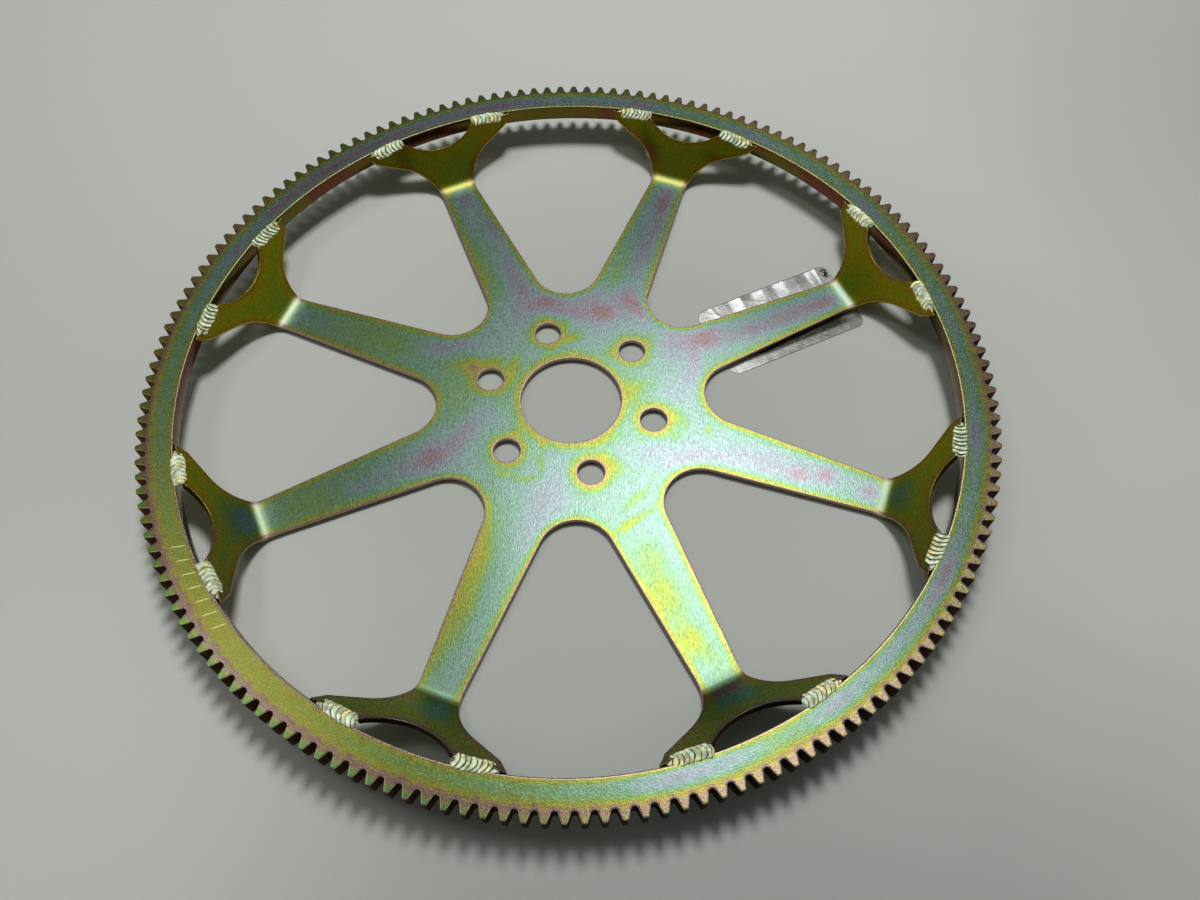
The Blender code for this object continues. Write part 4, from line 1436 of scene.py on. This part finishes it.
# Pale film with gold in patches; the pale is partly the bead's own colour and partly painted
# highlight. Painted shade: only some of the scales catch the light, the others stay a dull gold
# brown, and a dark line lies in the groove where each scale ends and at the low start of the next;
# both toes are brown
def weldMaterial(p):
    material, tree, place = newMaterial("platedWeld")
    patches = noiseOf(tree, place, **p["patchNoise"])
    grain = noiseOf(tree, place, **p["grainNoise"])
    flecks = noiseOf(tree, place, **p["fleckNoise"])
    ripple, arch = attribute(tree, "ripple"), attribute(tree, "arch")
    thickness = summed(
        tree, p["base"], (patches, p["patches"]), (ripple, p["ripple"]), clamp=True)
    colour = mixColour(tree, p["paleShare"], filmRamp(tree, thickness), p["pale"])
    # painted shade on the unlit scales, in the grooves and at the start of each scale; gold in
    # patches, and brown toes
    shares = {
        "gold": eased01(tree, patches, *p["goldBand"], p["goldShare"]),
        "dull": faded(tree, flecks, *p["dullBand"], p["dullShare"]),
        "grooveShade": eased01(tree, ripple, *p["grooveBand"], p["grooveShare"]),
        "after": faded(tree, ripple, *p["afterBand"], p["afterShare"]),
        "toe": faded(tree, arch, *p["toeBand"], p["toeShare"]),
    }
    for name, share in shares.items():
        colour = mixColour(tree, share, colour, p[name])
    finishWith(tree, {
        "Base Color": colour,
        "Roughness": summed(tree, p["roughness"], (grain, p["roughGrain"])),
        "Metallic": p["metallic"],
        "Normal": bumpOf(tree, grain, p["bumpHeight"], p["bumpStrength"]),
    })
    return material


weldFinish = weldMaterial(weldPaint)
for index in range(2 * plate["spokes"]):
    makeBead(bead, bend, index, weldFinish)
print("weld beads made")


foil = {
    "length": 70.5,
    "width": 38.5,
    "corner": 5.0,
    "pastBend": 4.6,
    "sideShift": 1.2,
    "angle": 22.5,
    "thickness": 0.06,
    "lift": 0.10,
    "liftBand": (-8, 4),
    "liftLeast": 0.25,
    "crossCreases": 13,
    "crossTurn": 16,
    "crossHeight": (0.3, 1.0),
    "crossWidth": (1.0, 3.0),
    "longCreases": 4,
    "longTurn": 40,
    "longPlace": 15,
    "longHeight": 0.5,
    "longWidth": (0.8, 2.4),
    "curl": 0.065,
    "curlFrom": 9.0,
    "panels": 13,
    "steepness": (0.2, 1.0),
    "mark": ((32.6, 14.8), (1.9, 3.4)),  # middle and half sizes of the crumpled place
    # where the painted green reflection of the spoke lies
    "greenSide": (-15.8, -14.0),
    "greenLeast": 0.36,
    "greenEdge": (-8, -4),
    "greenStart": (-32, -14),
    "greenEnd": (24, 33),
    "greenLoss": 0.6,
    "columns": 150,
    "rows": 84,
    "evenShare": 0.65,
    "seed": 7,
    "mergeReach": 0.0005,
}


# A straight crease: a ridge that falls away evenly to nothing at its width on both sides
def crease(distance, width):
    return np.maximum(0, 1 - np.abs(distance) / width)


# The strip as a grid over its rounded outline, whose half width shrinks as a quarter circle near
# both ends. Its height is the sum of random straight creases across and along it, less under the
# spoke, plus one long side that curls up evenly in panels of random steepness. The underside is
# the same less the thickness. Two attributes say where it is crumpled, for a painted shade there,
# and where the spoke's painted reflection lies green beside it
def makeFoil(p, bend, material):
    random = np.random.default_rng(p["seed"])
    rows, columns = p["rows"], p["columns"]
    a = np.linspace(0, 1, columns)
    u = (1 - np.cos(pi * a)) / 2 * (1 - p["evenShare"]) + a * p["evenShare"]
    x = (u - 0.5) * p["length"]
    fromEnd = np.clip(p["corner"] - (p["length"] / 2 - np.abs(x)), 0, p["corner"])
    half = p["width"] / 2 - p["corner"] + np.sqrt(p["corner"] ** 2 - fromEnd**2)
    gridX = np.broadcast_to(x, (rows, columns))
    gridY = np.linspace(-1, 1, rows)[:, None] * half[None]
    height = np.zeros(gridX.shape)
    for _ in range(p["crossCreases"]):
        turn = radians(random.uniform(-p["crossTurn"], p["crossTurn"]) + 90)
        at = random.uniform(-p["length"] / 2, p["length"] / 2)
        distance = (gridX - at) * sin(turn) + gridY * cos(turn)
        tall = random.uniform(*p["crossHeight"])
        height += tall * crease(distance, random.uniform(*p["crossWidth"]))
    for _ in range(p["longCreases"]):
        turn = radians(random.uniform(-p["longTurn"], p["longTurn"]))
        at = random.uniform(-p["longPlace"], p["longPlace"])
        distance = gridY * cos(turn) - gridX * sin(turn) - at
        height += p["longHeight"] * crease(distance, random.uniform(*p["longWidth"]))
    least = p["liftLeast"]
    height *= p["lift"] / height.max() * (least + (1 - least) * eased(gridY, *p["liftBand"]))
    steepness = random.uniform(*p["steepness"], p["panels"])
    panels = np.interp(x, np.linspace(x[0], x[-1], p["panels"]), steepness)
    curl = p["curl"] * np.maximum(gridY - p["curlFrom"], 0) * panels[None]
    lay = p["thickness"] + height + curl
    upper = np.stack((gridX, gridY, lay), -1)
    lower = np.stack((gridX, gridY, lay - p["thickness"]), -1)

    # faces: the upper side, the lower side turned over, and a narrow edge all round
    count = rows * columns
    index = np.arange(count).reshape(rows, columns)
    border = np.concatenate((index[0, :-1], index[:-1, -1], index[-1, :0:-1], index[:0:-1, 0]))
    ahead = np.roll(border, -1)
    quads = (
        gridQuads(rows, columns),
        gridQuads(rows, columns, count, flip=True),
        np.stack((border, border + count, ahead + count, ahead), -1),
    )
    points = np.vstack((upper.reshape(-1, 3), lower.reshape(-1, 3)))
    points[:, 0] += bend["start"] + p["pastBend"] - p["length"] / 2
    points[:, 1] += p["sideShift"]
    points = turnedGrid(points[None], radians(p["angle"]))[0]
    mesh = meshFrom("foilLabel", points * mm, np.vstack(quads))

    # the crumpled place, with its painted shade, is a flat-topped bell, and the spoke's painted
    # reflection, in green, a strip along the other side
    (markX, markY), (markLength, markWidth) = p["mark"]
    away = ((gridX - markX) / markLength) ** 2 + ((gridY - markY) / markWidth) ** 2
    mark = np.exp(-(away**2))
    green = p["greenLeast"] + (1 - p["greenLeast"]) * eased(gridY, *p["greenSide"])
    green *= eased(gridX, *p["greenStart"]) * (1 - p["greenLoss"] * eased(gridX, *p["greenEnd"]))
    green *= 1 - eased(gridY, *p["greenEdge"])
    writeAttribute(mesh, "mark", np.tile(mark.ravel(), 2))
    writeAttribute(mesh, "green", np.tile(green.ravel(), 2))
    closeMesh(mesh, p["mergeReach"] * mm)
    addPiece("foilLabel", mesh, material, "silver_foil", "foil_label")


foilPaint = {
    "smudgeNoise": {"size": 6, "detail": 3.0},
    "grainNoise": {"size": 1.1, "detail": 4.0, "roughness": 0.65},
    "smudgeBand": (-0.15, 0.2),
    "smudged": (0.66, 0.67, 0.66),
    "clean": (0.88, 0.89, 0.88),
    "streakBand": (-0.10, 0.16),
    "streaks": (0.82, 1.0),
    # painted reflection of the spoke in green, and painted shade in black where crumpled
    "green": (0.035, 0.045, 0.012),
    "crumpleBand": (-0.12, -0.02),
    "crumpled": (0.015, 0.017, 0.015),
    "metallic": 0.85,
    "roughness": 0.20,
    "roughGrain": 0.20,
    "bumpHeight": 0.00008,
    "bumpStrength": 0.5,
}


# Silver between smudged and clean by noise, painted shade in black where it is crumpled, and a
# painted reflection, green and streaked, beside the spoke, where the photograph shows the spoke's
# mirror image
def foilMaterial(p):
    material, tree, place = newMaterial("silverFoil")
    smudge = noiseOf(tree, place, **p["smudgeNoise"])
    grain = noiseOf(tree, place, **p["grainNoise"])
    colour = mixColour(tree, eased01(tree, smudge, *p["smudgeBand"]), p["smudged"], p["clean"])
    streaks = eased01(tree, grain, *p["streakBand"], *p["streaks"])
    green = product(tree, attribute(tree, "green"), streaks)
    colour = mixColour(tree, green, colour, p["green"])
    crumple = eased01(tree, grain, *p["crumpleBand"])
    crumple = product(tree, attribute(tree, "mark"), crumple)
    finishWith(tree, {
        "Base Color": mixColour(tree, crumple, colour, p["crumpled"]),
        "Roughness": summed(tree, p["roughness"], (grain, p["roughGrain"])),
        "Metallic": p["metallic"],
        "Normal": bumpOf(tree, grain, p["bumpHeight"], p["bumpStrength"]),
    })
    return material


makeFoil(foil, bend, foilMaterial(foilPaint))
print("foil strip made")


# Painted light and shade lie over the floor's colour in rounded places, each with its middle and
# half sizes in metres: painted light at the far side, painted shade at the near side, painted light
# at the near left, painted shade under the part, and painted shade at the right
floor = {
    "halfSize": 2.2,
    "cells": 40,
    "colour": (0.418, 0.437, 0.404),
    "patches": (
        ((0.02, 0.31), (0.31, 0.22), (0.424, 0.440, 0.412)),
        ((0.07, -0.26), (0.25, 0.17), (0.290, 0.304, 0.286)),
        ((-0.215, -0.155), (0.14, 0.14), (0.475, 0.492, 0.455)),
        ((0.04, 0.005), (0.18, 0.18), (0.342, 0.360, 0.330)),
        ((0.38, 0.18), (0.17, 0.24), (0.355, 0.368, 0.345)),
    ),
    "patchBand": (0.15, 1.25),
    "cloudNoise": {"size": 90, "detail": 2.0},
    "cloud": 0.3,
    "grainNoise": {"size": 0.9, "detail": 3.0},
    "speckle": 0.05,
    "roughness": 0.62,
    "specular": 0.25,
    "bumpHeight": 0.00005,
    "bumpStrength": 0.4,
}


# A large flat sheet under the part. Each place of painted light and shade fades with the
# distance from its middle measured in its half sizes, which a slow noise makes uneven
def makeFloor(p):
    line = np.linspace(-p["halfSize"], p["halfSize"], p["cells"])
    x, y = np.meshgrid(line, line)
    points = np.stack((x, y, np.zeros_like(x)), -1).reshape(-1, 3)
    mesh = meshFrom("paleFloor", points, gridQuads(p["cells"], p["cells"]))
    material, tree, place = newMaterial("palePaint")
    x, y, _ = coordinates(tree, place)
    cloud = noiseOf(tree, place, **p["cloudNoise"])
    grain = noiseOf(tree, place, **p["grainNoise"])
    colour = p["colour"]
    for middle, half, paintedLight in p["patches"]:
        away = summed(tree, ovalDistance(tree, x, y, middle, half), (cloud, p["cloud"]))
        colour = mixColour(tree, faded(tree, away, *p["patchBand"]), colour, paintedLight)
    finishWith(tree, {
        "Base Color": speckled(tree, colour, grain, p["speckle"]),
        "Roughness": p["roughness"],
        "Specular IOR Level": p["specular"],
        "Normal": bumpOf(tree, grain, p["bumpHeight"], p["bumpStrength"]),
    })
    mesh.materials.append(material)
    sheet = bpy.data.objects.new("paleFloor", mesh)
    scene.collection.objects.link(sheet)


makeFloor(floor)
print("floor laid")


# The window lamp is a disk at its place in metres, with its power and diameter. Each of the
# others is far away: its direction as seen from the part, its strength and its width in degrees
windowLamp = {"place": (0.11, 0.48, 1.24), "power": 14.3, "size": 0.33}
lamps = {
    "left": ((-0.55, 0.30, 1.0), 0.35, 16.0),
    "sky": ((0.10, 0.20, 1.0), 0.22, 120.0),
}
# The room as the steel mirrors it: dim walls, a dimmer place where the photographer stands, and
# pale ceiling patches, each with its middle and half sizes on a ceiling one unit up
room = {
    "ceiling": 0.095,
    "horizon": 0.09,
    "viewer": (0.0, -0.6, 0.8),
    "viewerShade": 0.09,
    "viewerWidth": 40.0,
    "patches": (
        ((0.135, 0.44), (0.175, 0.255), 1.95),
        ((-0.49, 0.25), (0.22, 0.19), 0.44),
    ),
    "patchBand": (0.88, 1.12),
    "climb": (0.1, 0.7),
    "lowest": 0.05,
    "viewerFrom": 0.1,
    "least": 0.03,
    "colour": (1.0, 1.0, 0.98),
}


# A lamp that shines from its place or direction towards the part, and isn't mirrored in it
def addLamp(name, kind, origin, energy):
    data = bpy.data.lights.new(name, kind)
    data.energy = energy
    lamp = bpy.data.objects.new(name, data)
    lamp.rotation_euler = Vector(origin).to_track_quat("Z", "Y").to_euler()
    lamp.visible_glossy = False
    scene.collection.objects.link(lamp)
    return lamp


# The window lamp at its place, and the far lamps, which need only a direction
def makeLamps():
    window = addLamp("windowLamp", "AREA", windowLamp["place"], windowLamp["power"])
    window.location = windowLamp["place"]
    window.data.shape = "DISK"
    window.data.size = windowLamp["size"]
    for name, (direction, strength, width) in lamps.items():
        addLamp(name + "Lamp", "SUN", direction, strength).data.angle = radians(width)


# World light by direction: from horizon to ceiling, plus each patch by its distance from the
# patch's middle in half sizes, less the dim place by its angle
def makeRoom(p):
    world = bpy.data.worlds.new("plainRoom")
    world.use_nodes = True
    scene.world = world
    tree = world.node_tree
    toward = put(tree, "ShaderNodeTexCoord").outputs["Generated"]
    x, y, up = coordinates(tree, toward)
    light = eased01(tree, up, *p["climb"], p["ceiling"], p["horizon"])
    height = maths(tree, "MAXIMUM", up, p["lowest"])
    x, y = maths(tree, "DIVIDE", x, height), maths(tree, "DIVIDE", y, height)
    for middle, half, strength in p["patches"]:
        patch = faded(tree, ovalDistance(tree, x, y, middle, half), *p["patchBand"], strength)
        light = maths(tree, "ADD", light, patch)
    viewer = tuple(Vector(p["viewer"]).normalized())
    dot = put(tree, "ShaderNodeVectorMath", {0: toward, 1: viewer}, operation="DOT_PRODUCT")
    angle = maths(tree, "ARCCOSINE", dot.outputs["Value"])
    width = radians(p["viewerWidth"])
    shade = faded(tree, angle, p["viewerFrom"], width, p["viewerShade"])
    light = maths(tree, "SUBTRACT", light, shade)
    background = tree.nodes["Background"]
    feed(tree, background.inputs["Strength"], maths(tree, "MAXIMUM", light, p["least"]))
    feed(tree, background.inputs["Color"], p["colour"])


makeLamps()
makeRoom(room)
scene.view_settings.view_transform = "Standard"
print("lamps and room set")
